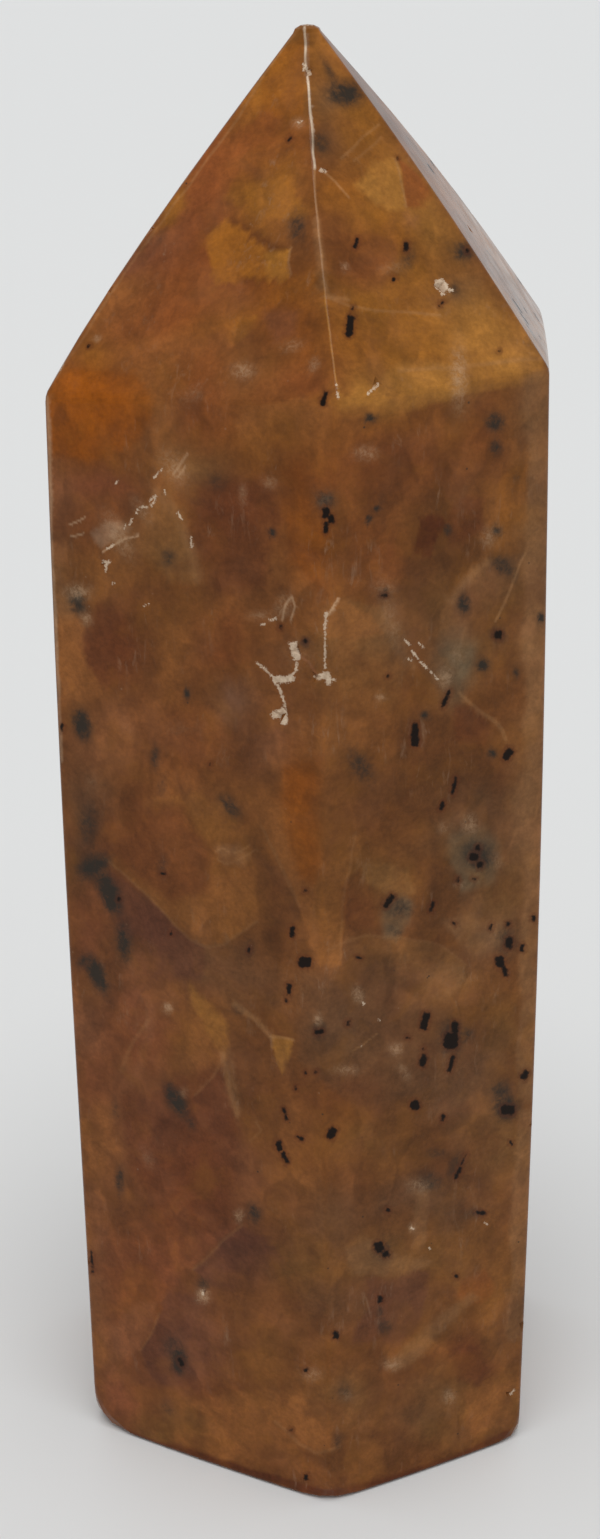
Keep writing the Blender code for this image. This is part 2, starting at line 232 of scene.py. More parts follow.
# Broad soft colours, from the top of the stone down: place, half-width, half-height, lean, colour, strength
CLOUDS = [Cloud(*row) for row in (
    # Point, left face
    (280, 75, 40, 50, 25, "gold", 0.95), (258, 112, 40, 26, 30, "gold", 0.8),
    (254, 110, 20, 16, 30, "saffron", 0.6), (284, 286, 34, 24, 0, "flame", 0.6),
    (200, 256, 36, 30, 0, "flame", 0.4), (150, 308, 50, 24, 0, "apricot", 0.5),
    (262, 146, 50, 24, 20, "rust", 0.9), (215, 170, 44, 40, 35, "rust", 0.9),
    (188, 215, 34, 40, 30, "coral", 0.7), (262, 198, 46, 24, -60, "gold", 0.85),
    (165, 205, 12, 34, 36, "gold", 0.8), (205, 265, 46, 40, 20, "rust", 0.9),
    (150, 258, 24, 24, 36, "coral", 0.7), (118, 300, 22, 30, 36, "apricot", 0.9),
    (170, 322, 60, 36, -10, "rust", 0.9), (165, 345, 50, 20, 0, "apricot", 0.5),
    (232, 332, 40, 20, 0, "amber", 0.8), (298, 288, 34, 16, -20, "amber", 0.9),
    (300, 332, 34, 30, 10, "ember", 0.9), (98, 352, 22, 20, 30, "gold", 0.6),
    (90, 395, 44, 36, 0, "flame", 0.8), (150, 385, 24, 30, 0, "apricot", 0.6),
    (205, 385, 34, 26, 0, "rust", 0.8), (255, 375, 26, 18, 0, "apricot", 0.8),
    (298, 380, 30, 18, 0, "rust", 0.7),
    # Point, right face
    (335, 55, 14, 34, -35, "gold", 0.7), (326, 100, 18, 26, 0, "sand", 0.7),
    (324, 145, 14, 26, 0, "taupe", 0.6), (360, 130, 34, 34, -40, "gold", 0.8),
    (392, 180, 22, 26, -40, "honey", 0.8), (345, 195, 30, 30, 0, "amber", 0.9),
    (376, 215, 26, 22, 0, "gold", 0.9), (356, 250, 34, 24, 0, "russet", 0.9),
    (402, 230, 28, 20, 0, "amber", 0.9), (438, 220, 24, 40, -40, "honey", 0.75),
    (420, 272, 34, 26, 0, "gold", 0.8), (460, 300, 40, 26, -35, "khaki", 0.8),
    (366, 300, 34, 24, 0, "gold", 0.8), (405, 322, 44, 20, 0, "gold", 0.85),
    (402, 362, 26, 16, 0, "gold", 0.6), (480, 322, 30, 20, 0, "honey", 0.6),
    (352, 350, 26, 30, 0, "amber", 0.9), (420, 352, 50, 22, 0, "gold", 0.9),
    (485, 340, 40, 26, 0, "honey", 0.8), (520, 350, 30, 30, 0, "honey", 0.9),
    (446, 386, 40, 14, 0, "honey", 0.95), (505, 378, 40, 12, 0, "honey", 0.9),
    (370, 393, 40, 14, 0, "honey", 0.9),
    # Shoulder and upper body
    (92, 432, 46, 22, 0, "flame", 0.9), (165, 428, 24, 28, 0, "apricot", 0.9),
    (210, 425, 26, 24, 0, "rust", 0.6), (285, 432, 50, 32, -10, "amber", 0.95),
    (300, 470, 30, 20, 0, "ember", 0.9), (98, 482, 44, 18, 0, "coral", 0.8),
    (190, 472, 30, 20, 0, "khaki", 0.8), (58, 505, 14, 60, 0, "rose", 0.6),
    (62, 595, 14, 40, 0, "sand", 0.9), (110, 520, 40, 20, 0, "clay", 0.6),
    (235, 510, 40, 34, 0, "brick", 0.9), (302, 540, 18, 56, 0, "orange", 0.8),
    (236, 568, 36, 30, 0, "umber", 0.9), (115, 575, 50, 22, 0, "tan", 0.7),
    (165, 635, 30, 40, 0, "tan", 0.6), (118, 650, 30, 42, 0, "brick", 0.95),
    (68, 660, 14, 50, 0, "apricot", 0.85), (215, 645, 30, 30, 0, "clay", 0.8),
    (370, 462, 70, 34, 0, "clay", 0.8), (410, 425, 60, 16, 0, "amber", 0.5),
    (485, 430, 26, 40, 0, "clay", 0.7), (345, 540, 26, 40, 0, "russet", 0.95),
    (385, 560, 26, 30, 0, "clay", 0.7), (436, 562, 34, 40, 0, "umber", 0.8),
    (462, 520, 24, 30, 0, "umber", 0.7), (512, 480, 20, 60, 0, "tan", 0.9),
    (536, 480, 14, 120, 0, "sand", 0.6), (505, 590, 30, 30, 20, "olive", 0.9),
    (536, 640, 14, 100, 0, "sand", 0.7), (390, 628, 36, 30, -30, "sand", 0.85),
    (330, 630, 26, 30, 0, "tan", 0.7), (440, 605, 20, 30, 20, "khaki", 0.7),
    (458, 660, 18, 34, 10, "sage", 0.95), (498, 660, 22, 30, 0, "olive", 0.7),
    (362, 690, 40, 30, 0, "tan", 0.7), (438, 722, 40, 26, 0, "umber", 0.9),
    (500, 700, 26, 22, 0, "body", 0.8), (236, 704, 18, 16, 0, "lilac", 0.45),
    (180, 700, 34, 20, 0, "body", 0.7),
    # Middle of the body
    (108, 740, 40, 30, 0, "rose", 0.45), (190, 745, 50, 30, 0, "clay", 0.6),
    (280, 745, 36, 34, 0, "rose", 0.7), (332, 742, 26, 30, 0, "tan", 0.8),
    (274, 812, 22, 44, 0, "apricot", 0.9), (304, 815, 18, 54, 0, "ember", 0.95),
    (345, 845, 24, 40, 0, "tan", 0.7), (400, 792, 54, 34, 0, "umber", 0.9),
    (462, 765, 44, 28, 0, "umber", 0.8), (470, 800, 40, 20, 0, "taupe", 0.8),
    (468, 855, 40, 34, 0, "sage", 0.5), (508, 890, 20, 30, 0, "olive", 0.8),
    (522, 815, 16, 60, 0, "sand", 0.9), (84, 800, 20, 40, 0, "taupe", 0.6),
    (84, 850, 22, 44, 0, "slate", 0.45), (150, 848, 44, 40, 30, "clay", 0.9),
    (205, 825, 34, 30, 0, "tan", 0.8), (235, 885, 30, 40, 0, "tan", 0.7),
    (150, 930, 54, 34, 40, "plum", 0.9), (262, 900, 22, 40, 0, "umber", 0.9),
    (300, 925, 30, 30, 0, "umber", 0.9), (325, 930, 16, 30, 0, "tan", 0.7),
    (86, 935, 16, 40, 0, "coral", 0.6), (380, 880, 40, 26, 0, "olive", 0.7),
    (432, 868, 26, 34, 0, "umber", 0.8), (430, 930, 34, 26, 0, "umber", 0.95),
    (480, 930, 34, 22, 0, "sage", 0.5), (400, 968, 60, 22, 0, "taupe", 0.9),
    (440, 985, 28, 18, 0, "khaki", 0.9), (198, 968, 50, 20, 0, "taupe", 0.8),
    (250, 985, 40, 30, 0, "taupe", 0.6), (90, 1030, 20, 40, 0, "rose", 0.8),
    (92, 1090, 20, 30, 0, "coral", 0.8), (140, 1040, 34, 50, 0, "coral", 0.8),
    (142, 996, 30, 26, 0, "plum", 0.5), (202, 1040, 30, 40, 10, "tan", 0.8),
    (250, 1065, 26, 50, 0, "umber", 0.8), (300, 1050, 24, 30, 0, "body", 0.8),
    (340, 1020, 34, 34, 0, "taupe", 0.95), (382, 1000, 26, 20, 0, "taupe", 0.95),
    (400, 1050, 30, 24, 0, "sand", 0.5), (450, 1010, 30, 20, 0, "olive", 0.6),
    (502, 1030, 26, 40, 0, "olive", 0.8), (470, 1070, 36, 30, 0, "taupe", 0.85),
    (430, 1095, 60, 34, 0, "taupe", 0.5), (352, 1052, 30, 34, 0, "taupe", 0.5),
    (470, 1004, 22, 24, 0, "umber", 0.6), (385, 996, 60, 24, 0, "umber", 0.5),
    (400, 935, 60, 24, 0, "umber", 0.5), (505, 615, 30, 36, 0, "umber", 0.5),
    (430, 640, 30, 60, 0, "umber", 0.4), (350, 1100, 34, 24, 0, "clay", 0.6),
    # Lower body
    (180, 1115, 50, 40, 0, "plum", 0.95), (150, 1155, 40, 30, 0, "mauve", 0.9),
    (195, 1190, 50, 36, 0, "brick", 0.95), (178, 1225, 40, 26, 0, "clay", 0.9),
    (92, 1170, 16, 60, 0, "apricot", 0.9), (98, 1250, 16, 60, 0, "coral", 0.8),
    (96, 1272, 12, 66, 0, "peach", 0.25), (150, 1275, 40, 30, 0, "clay", 0.7),
    (236, 1150, 26, 40, 0, "mauve", 0.6), (262, 1115, 26, 24, 0, "umber", 0.8),
    (245, 1245, 40, 30, 0, "plum", 0.95), (300, 1180, 40, 34, 0, "tan", 0.4),
    (335, 1225, 36, 26, 0, "taupe", 0.7), (350, 1185, 30, 20, 0, "body", 0.8),
    (375, 1135, 40, 26, 0, "olive", 0.7), (425, 1130, 40, 26, 0, "umber", 0.9),
    (455, 1100, 30, 24, 0, "taupe", 0.9), (500, 1150, 30, 40, 0, "khaki", 0.7),
    (450, 1200, 36, 30, 0, "taupe", 0.85), (400, 1200, 30, 24, 0, "taupe", 0.8),
    (392, 1262, 44, 18, 0, "khaki", 0.8), (455, 1255, 40, 26, 0, "olive", 0.7),
    (300, 1262, 34, 26, 0, "olive", 0.7), (400, 1302, 30, 24, 0, "taupe", 0.8),
    (335, 1302, 34, 26, 0, "taupe", 0.7), (498, 1290, 26, 50, 0, "tan", 0.9),
    (440, 1325, 34, 22, 0, "tan", 0.9), (470, 1362, 26, 22, 0, "clay", 0.9),
    (190, 1320, 36, 30, 0, "mauve", 0.9), (188, 1360, 30, 30, 0, "plum", 0.95),
    (128, 1330, 30, 50, 0, "clay", 0.7), (118, 1395, 30, 34, 0, "coral", 0.8),
    (245, 1335, 40, 30, 0, "body", 0.8), (220, 1405, 40, 22, 0, "clay", 0.5),
    (205, 1426, 36, 18, 0, "tan", 0.6), (235, 1448, 54, 18, 0, "apricot", 0.9),
    (280, 1352, 30, 24, 0, "tan", 0.8), (420, 1422, 30, 16, 0, "sand", 0.6),
    (502, 1325, 16, 64, 0, "tan", 0.8), (426, 1244, 26, 20, 0, "umber", 0.5),
    (482, 1180, 24, 20, 0, "umber", 0.4), (150, 1300, 26, 20, 0, "clay", 0.7),
    (112, 1350, 20, 40, 0, "rose", 0.35), (130, 1250, 26, 30, 0, "coral", 0.5),
    (198, 1150, 34, 30, 0, "brick", 0.6), (168, 1425, 30, 16, 0, "olive", 0.7),
    (285, 1400, 34, 24, 0, "tan", 0.8), (300, 1432, 30, 18, 0, "apricot", 0.8),
    (350, 1400, 26, 26, 0, "khaki", 0.6), (440, 1390, 26, 20, 0, "khaki", 0.6),
    (492, 1405, 34, 26, 0, "honey", 0.6), (392, 1450, 30, 20, 0, "umber", 0.8),
    (430, 1436, 24, 14, 0, "olive", 0.7),
)]

# Cleavage blocks seen in the stone: outline, colour, strength, how soft the outline is in pixels, and for
# some the way they fade, in degrees from the right
PATCHES = [Patch(*row) for row in (
    (((262, 108), (275, 118), (302, 120), (304, 34), (290, 44), (262, 84)), "flame", 0.3, 3),
    (((276, 118), (303, 121), (308, 146), (262, 144), (242, 128), (262, 109)), "rust", 0.6, 4, 90),
    (((222, 222), (262, 240), (276, 250), (291, 248), (288, 262), (291, 273), (262, 273), (240, 281),
      (215, 287), (209, 262), (204, 240)), "saffron", 0.85, 2.5),
    (((264, 244), (276, 250), (291, 248), (288, 262), (291, 273), (270, 273)), "straw", 0.85, 3),
    (((222, 218), (262, 232), (285, 246), (291, 248), (276, 250), (262, 240), (222, 223)),
      "russet", 0.8, 3),
    (((185, 180), (214, 178), (222, 216), (200, 236), (186, 214)), "rust", 0.5, 9),
    (((238, 178), (262, 180), (302, 200), (310, 216), (262, 218), (236, 208), (226, 196)), "gold", 0.6, 6),
    (((243, 160), (250, 162), (268, 182), (258, 184)), "russet", 0.5, 5),
    (((158, 226), (168, 202), (184, 188), (184, 204), (172, 224)), "gold", 0.6, 6),
    (((120, 262), (150, 226), (160, 240), (150, 262), (130, 274)), "mauve", 0.4, 7),
    (((222, 346), (232, 325), (256, 317), (250, 334), (236, 346)), "gold", 0.7, 4, 200),
    (((240, 322), (300, 312), (326, 330), (300, 352), (256, 362)), "russet", 0.4, 9),
    (((262, 316), (284, 306), (300, 310), (296, 336), (276, 344)), "mauve", 0.45, 8),
    (((244, 396), (262, 380), (318, 366), (328, 384), (310, 392), (262, 404)), "clay", 0.3, 7),
    (((396, 158), (402, 172), (409, 206), (398, 212), (372, 200), (354, 182), (372, 162)), "honey", 0.9, 3),
    (((398, 158), (404, 162), (420, 175), (434, 194), (424, 206), (409, 206), (402, 172)), "rust", 0.75, 3),
    (((409, 207), (424, 218), (420, 230), (404, 222)), "rose", 0.4, 5),
    (((334, 240), (368, 232), (396, 240), (396, 262), (372, 276), (332, 276)), "russet", 0.65, 7),
    (((340, 262), (390, 258), (396, 276), (366, 292), (334, 286)), "clay", 0.4, 8),
    (((332, 400), (366, 386), (400, 366), (546, 352), (546, 382), (520, 390), (440, 397), (420, 407),
      (398, 410), (368, 402), (345, 408)), "honey", 0.55, 5),
    (((46, 398), (74, 368), (132, 374), (148, 396), (149, 424), (138, 446), (96, 458), (50, 454)),
      "flame", 0.5, 6),
    (((232, 420), (246, 408), (300, 394), (328, 402), (330, 440), (322, 484), (306, 474), (262, 462),
      (244, 440)), "apricot", 0.45, 3, 90),
    (((527, 380), (552, 370), (548, 640), (542, 860), (534, 1100), (518, 1100), (520, 960), (524, 880),
      (524, 640)), "sand", 0.7, 7),
    (((345, 404), (440, 386), (470, 390), (438, 405), (402, 417), (348, 419)), "honey", 0.6, 4, 180),
    (((160, 498), (174, 504), (188, 532), (194, 552), (197, 577), (168, 580), (134, 556), (132, 540)),
      "khaki", 0.65, 3, 190),
    (((92, 533), (108, 524), (124, 526), (134, 532), (122, 541), (104, 549)), "haze", 0.6, 4),
    (((286, 494), (322, 494), (322, 600), (286, 596)), "ember", 0.4, 16),
    (((262, 520), (286, 520), (290, 560), (318, 590), (300, 600), (276, 580), (264, 552)),
      "apricot", 0.4, 5),
    (((421, 516), (445, 516), (447, 527), (437, 538), (429, 556), (413, 551), (419, 534)),
      "garnet", 0.95, 2),
    (((446, 524), (462, 498), (484, 500), (486, 530), (452, 548)), "brick", 0.6, 6),
    (((452, 602), (488, 560), (526, 556), (516, 590), (494, 622), (470, 640)), "taupe", 0.65, 4, 60),
    (((446, 604), (486, 556), (492, 560), (456, 606)), "sand", 0.6, 4),
    (((320, 604), (344, 596), (382, 606), (410, 640), (400, 700), (372, 744), (336, 752), (316, 700)),
      "khaki", 0.45, 4, 90),
    (((336, 700), (378, 690), (392, 720), (372, 746), (340, 752)), "apricot", 0.3, 6),
    (((96, 604), (120, 612), (136, 650), (128, 696), (104, 690), (88, 668), (82, 640), (86, 618)),
      "brick", 0.75, 4, 20),
    (((60, 618), (83, 622), (84, 658), (102, 694), (84, 704), (64, 690)), "apricot", 0.5, 4),
    (((497, 470), (526, 464), (528, 520), (502, 524)), "amber", 0.5, 6),
    (((136, 510), (168, 492), (186, 512), (194, 545), (180, 580), (150, 560), (110, 545)),
      "khaki", 0.35, 8),
    (((196, 488), (262, 476), (284, 520), (262, 590), (216, 590), (196, 540)), "brick", 0.55, 14),
    (((110, 862), (150, 897), (190, 942), (206, 948), (226, 945), (255, 922), (254, 870), (245, 835),
      (225, 800), (190, 795), (150, 800), (110, 826)), "tan", 0.7, 3),
    (((106, 826), (140, 804), (182, 806), (210, 850), (206, 890), (176, 900), (140, 880), (106, 852)),
      "brick", 0.65, 14),
    (((210, 880), (254, 866), (256, 922), (226, 945), (206, 948), (192, 936)), "apricot", 0.45, 7),
    (((212, 846), (238, 842), (250, 856), (244, 870), (222, 868)), "haze", 0.15, 6),
    (((106, 868), (148, 898), (190, 944), (206, 950), (204, 976), (160, 984), (118, 940)), "plum", 0.6, 4),
    (((256, 868), (276, 866), (296, 905), (310, 960), (290, 972), (262, 940)), "umber", 0.9, 4),
    (((262, 826), (282, 870), (298, 905), (310, 945), (320, 968), (341, 966), (347, 910), (354, 853),
      (350, 832), (336, 790), (300, 770), (262, 790)), "apricot", 0.75, 3, -60),
    (((286, 768), (320, 758), (322, 850), (316, 886), (296, 876), (284, 830)), "orange", 0.6, 14),
    (((318, 880), (346, 884), (344, 930), (338, 966), (320, 966), (308, 930)), "tan", 0.6, 4),
    (((362, 862), (408, 866), (413, 892), (390, 900), (366, 884)), "khaki", 0.5, 4),
    (((360, 770), (420, 742), (478, 770), (470, 810), (390, 826), (358, 806)), "umber", 0.55, 9),
    (((327, 952), (366, 936), (400, 938), (440, 944), (465, 964), (461, 983), (444, 1000), (424, 990),
      (418, 972), (380, 964), (334, 968)), "khaki", 0.35, 3, 120),
    (((300, 972), (345, 985), (400, 984), (430, 1004), (448, 1012), (440, 1090), (360, 1110),
      (300, 1060)), "taupe", 0.4, 9),
    (((414, 972), (436, 964), (464, 966), (460, 984), (444, 1002), (426, 992)), "sand", 0.4, 6),
    (((384, 905), (404, 895), (413, 905), (407, 922), (397, 940), (385, 938), (382, 920)), "sage", 0.5, 9),
    (((450, 838), (486, 824), (500, 850), (494, 882), (462, 892), (444, 868)), "sage", 0.45, 12),
    (((412, 852), (446, 862), (462, 880), (460, 912), (450, 926), (462, 952), (440, 943), (404, 938),
      (411, 912), (422, 884)), "umber", 0.75, 5),
    (((344, 890), (360, 868), (374, 890), (376, 930), (350, 936), (340, 920)), "brick", 0.35, 4),
    (((516, 1110), (534, 1110), (526, 1340), (508, 1340), (512, 1200)), "sand", 0.6, 6),
    (((416, 1196), (432, 1190), (426, 1248), (412, 1250)), "sand", 0.5, 4),
    (((459, 1278), (484, 1268), (492, 1290), (478, 1304), (456, 1296)), "rust", 0.5, 5),
    (((455, 702), (482, 706), (492, 730), (486, 746), (458, 744)), "brick", 0.6, 5),
    (((286, 592), (300, 586), (340, 598), (372, 612), (384, 636), (332, 640), (300, 620)),
      "apricot", 0.4, 3),
    (((440, 918), (470, 912), (505, 922), (500, 944), (472, 954)), "sand", 0.45, 5),
    (((196, 1014), (222, 1024), (232, 1044), (226, 1066), (204, 1090), (186, 1100), (184, 1060)),
      "apricot", 0.35, 3),
    (((188, 984), (206, 1002), (226, 1022), (231, 1046), (226, 1062), (216, 1048), (204, 1026),
      (192, 1004)), "honey", 0.45, 6),
    (((222, 1056), (232, 1048), (242, 1110), (240, 1126), (228, 1096)), "sand", 0.45, 5),
    (((270, 1038), (294, 1041), (291, 1060), (287, 1074), (279, 1066)), "honey", 0.9, 3),
    (((184, 1100), (206, 1090), (222, 1070), (236, 1120), (216, 1140), (192, 1120)), "plum", 0.5, 5),
    (((120, 1100), (170, 1080), (222, 1068), (240, 1122), (234, 1200), (226, 1232), (190, 1236),
      (150, 1212), (124, 1160)), "brick", 0.6, 14),
    (((120, 1090), (134, 1062), (150, 1000), (156, 1010), (140, 1080)), "rose", 0.4, 8),
    (((193, 1270), (242, 1224), (262, 1232), (296, 1268), (270, 1290), (212, 1286)), "plum", 0.9, 3, 60),
    (((150, 1244), (200, 1238), (238, 1222), (194, 1266), (176, 1290), (150, 1280)), "coral", 0.45, 6),
    (((139, 1350), (150, 1336), (158, 1312), (166, 1292), (208, 1300), (224, 1350), (226, 1388),
      (190, 1398), (152, 1376)), "plum", 0.75, 3, 0),
    (((110, 1330), (140, 1300), (156, 1300), (150, 1332), (136, 1350), (112, 1360)), "rose", 0.4, 6),
    (((178, 1408), (249, 1390), (300, 1386), (312, 1418), (340, 1446), (312, 1453), (276, 1424),
      (240, 1420)), "apricot", 0.6, 4),
    (((366, 1276), (384, 1278), (420, 1270), (432, 1274), (424, 1310), (418, 1328), (396, 1342),
      (352, 1344), (366, 1310)), "plum", 0.6, 5),
    (((345, 1246), (364, 1236), (400, 1256), (436, 1262), (430, 1268), (384, 1276), (352, 1272)),
      "sand", 0.6, 5),
    (((388, 1366), (404, 1344), (437, 1316), (470, 1290), (478, 1296), (444, 1328), (414, 1360),
      (396, 1370)), "sand", 0.6, 6),
    (((350, 1438), (382, 1440), (386, 1472), (356, 1482), (342, 1470)), "tan", 0.6, 4),
    (((374, 1438), (402, 1432), (412, 1462), (390, 1470)), "umber", 0.6, 3),
    (((451, 1350), (478, 1346), (487, 1362), (478, 1386), (456, 1384)), "brick", 0.6, 6),
    (((462, 1392), (512, 1378), (512, 1424), (470, 1434)), "apricot", 0.7, 9),
)]

# Dark blotches that lie under the surface: place, half-width, half-height, lean and strength
SMUDGES = clouds_of("slate", (
    (345, 94, 18, 12, 0, 0.85), (330, 72, 5, 18, -30, 0.45), (320, 143, 11, 12, 0, 0.5),
    (297, 226, 10, 17, 0, 0.55), (297, 216, 6, 8, 0, 0.4), (463, 252, 11, 10, 0, 0.7),
    (161, 237, 6, 9, 0, 0.3), (408, 256, 8, 16, 8, 0.45), (455, 290, 7, 8, 0, 0.45),
    (495, 422, 10, 10, 0, 0.75), (496, 447, 7, 9, 0, 0.6), (504, 566, 16, 9, 40, 0.6),
    (326, 500, 11, 9, 0, 0.65), (361, 766, 22, 12, 60, 0.5), (77, 602, 9, 13, -20, 0.75),
    (155, 757, 5, 13, 0, 0.55), (162, 788, 5, 10, 10, 0.4), (216, 482, 14, 12, 0, 0.35),
    (200, 502, 16, 12, 0, 0.2), (168, 558, 8, 10, 0, 0.55), (88, 824, 11, 24, 0, 0.5),
    (94, 866, 17, 12, -30, 0.8), (109, 892, 9, 22, -24, 1.0), (112, 902, 8, 10, 0, 1.0),
    (84, 866, 8, 8, 0, 0.5), (124, 942, 8, 20, -6, 0.75), (97, 974, 8, 20, -24, 0.9),
    (86, 962, 10, 8, 0, 0.6), (176, 1100, 8, 18, -30, 0.85), (190, 1122, 5, 12, -35, 0.45),
    (115, 1109, 5, 14, 0, 0.35), (120, 1180, 5, 16, 0, 0.6), (254, 1213, 8, 11, 0, 0.6),
    (204, 1284, 7, 7, 0, 0.5), (179, 1360, 8, 13, -8, 0.95), (172, 1345, 12, 14, 0, 0.45),
    (345, 1391, 9, 11, 0, 0.4), (337, 1441, 6, 9, 20, 0.45), (385, 1327, 9, 8, 0, 0.5),
    (380, 1312, 4, 8, 0, 0.45), (168, 1408, 8, 12, -20, 0.35), (431, 1182, 12, 12, 20, 0.5),
    (436, 1153, 14, 6, 0, 0.4), (526, 291, 5, 8, -40, 0.5), (478, 856, 17, 14, 30, 0.8),
    (400, 908, 16, 15, 20, 0.5), (396, 930, 10, 10, 0, 0.45), (506, 1108, 12, 12, 0, 0.85),
    (500, 1092, 14, 12, 0, 0.55), (452, 1038, 14, 18, 0, 0.7), (468, 1034, 7, 7, 0, 0.5),
    (230, 806, 7, 15, -38, 0.65), (82, 724, 8, 15, -15, 1.0), (163, 866, 6, 12, 0, 0.4),
    (506, 940, 15, 18, 0, 0.45), (238, 1010, 8, 8, 0, 0.3), (319, 1030, 8, 10, 0, 0.6),
    (250, 950, 7, 11, 0, 0.35), (400, 648, 6, 10, 0, 0.2), (483, 665, 7, 7, 0, 0.9),
    (464, 604, 7, 9, 0, 0.85), (384, 593, 7, 7, 0, 0.6), (498, 635, 10, 10, 0, 0.5),
    (516, 673, 4, 6, 0, 0.6), (305, 642, 6, 6, 0, 0.6), (516, 478, 4, 6, 20, 0.35),
    (371, 418, 6, 4, 10, 0.9), (448, 530, 4, 5, 0, 0.8), (497, 531, 5, 6, 0, 0.7),
    (377, 508, 3, 5, 40, 0.8), (369, 519, 3, 6, 22, 0.8), (425, 715, 4, 4, 0, 0.8),
    (492, 753, 4, 5, 0, 0.8), (541, 619, 4, 7, 0, 0.8), (187, 694, 3, 7, 0, 0.8),
    (272, 532, 4, 5, -20, 0.8), (476, 1213, 12, 6, 0, 0.4), (383, 1250, 12, 12, 0, 0.45),
    (455, 1165, 6, 14, 24, 0.45),
))

# Pale veils and blurred white spots, in the same order
VEILS = clouds_of("cream", (
    (298, 123, 7, 5, 0, 0.6), (345, 267, 4, 4, 0, 0.6), (243, 371, 13, 9, 0, 0.5),
    (314, 365, 6, 9, 20, 0.4), (292, 346, 14, 7, -10, 0.35), (190, 395, 14, 10, 0, 0.25),
    (97, 338, 5, 4, 0, 0.5), (392, 268, 16, 6, -10, 0.3), (459, 378, 9, 34, 0, 0.55),
    (174, 468, 22, 14, 60, 0.4), (118, 535, 26, 10, 60, 0.5), (142, 510, 16, 7, 55, 0.4),
    (366, 453, 13, 8, 0, 0.5), (270, 482, 9, 8, 0, 0.35), (243, 495, 5, 14, 0, 0.35),
    (324, 500, 14, 15, 0, 0.2), (78, 592, 15, 8, 0, 0.55), (86, 618, 6, 8, -30, 0.55),
    (489, 537, 9, 12, 0, 0.4), (384, 588, 14, 12, 0, 0.3), (392, 622, 10, 34, -12, 0.28),
    (284, 606, 10, 15, 25, 0.4), (262, 616, 16, 6, 0, 0.35), (300, 655, 24, 22, 0, 0.2),
    (445, 678, 9, 11, 0, 0.5), (457, 656, 9, 12, 0, 0.3), (380, 697, 5, 4, 0, 0.6),
    (470, 824, 9, 12, 0, 0.45), (444, 828, 9, 7, 0, 0.3), (460, 885, 10, 5, 0, 0.3),
    (498, 862, 6, 10, 0, 0.3), (230, 852, 14, 6, 0, 0.15), (168, 1008, 5, 5, 0, 0.75),
    (318, 1019, 5, 6, 0, 0.55), (358, 995, 6, 10, -15, 0.55), (396, 1049, 8, 7, 0, 0.55),
    (346, 1070, 16, 6, 0, 0.4), (404, 1072, 12, 6, 60, 0.35), (180, 729, 22, 9, 0, 0.16),
    (127, 728, 7, 14, -20, 0.16), (92, 783, 9, 12, 0, 0.2), (460, 508, 4, 28, 14, 0.16),
    (418, 1186, 13, 9, 0, 0.4), (412, 1228, 4, 5, 0, 0.6), (239, 1216, 5, 7, 10, 0.55),
    (203, 1296, 7, 7, 0, 0.8), (312, 1374, 12, 7, 0, 0.4), (392, 1364, 10, 7, 0, 0.5),
    (449, 1397, 7, 8, 0, 0.5), (347, 1396, 10, 7, 0, 0.25), (148, 1158, 7, 14, -30, 0.25),
    (184, 1092, 5, 6, 0, 0.35), (350, 1048, 10, 24, 30, 0.1),
))

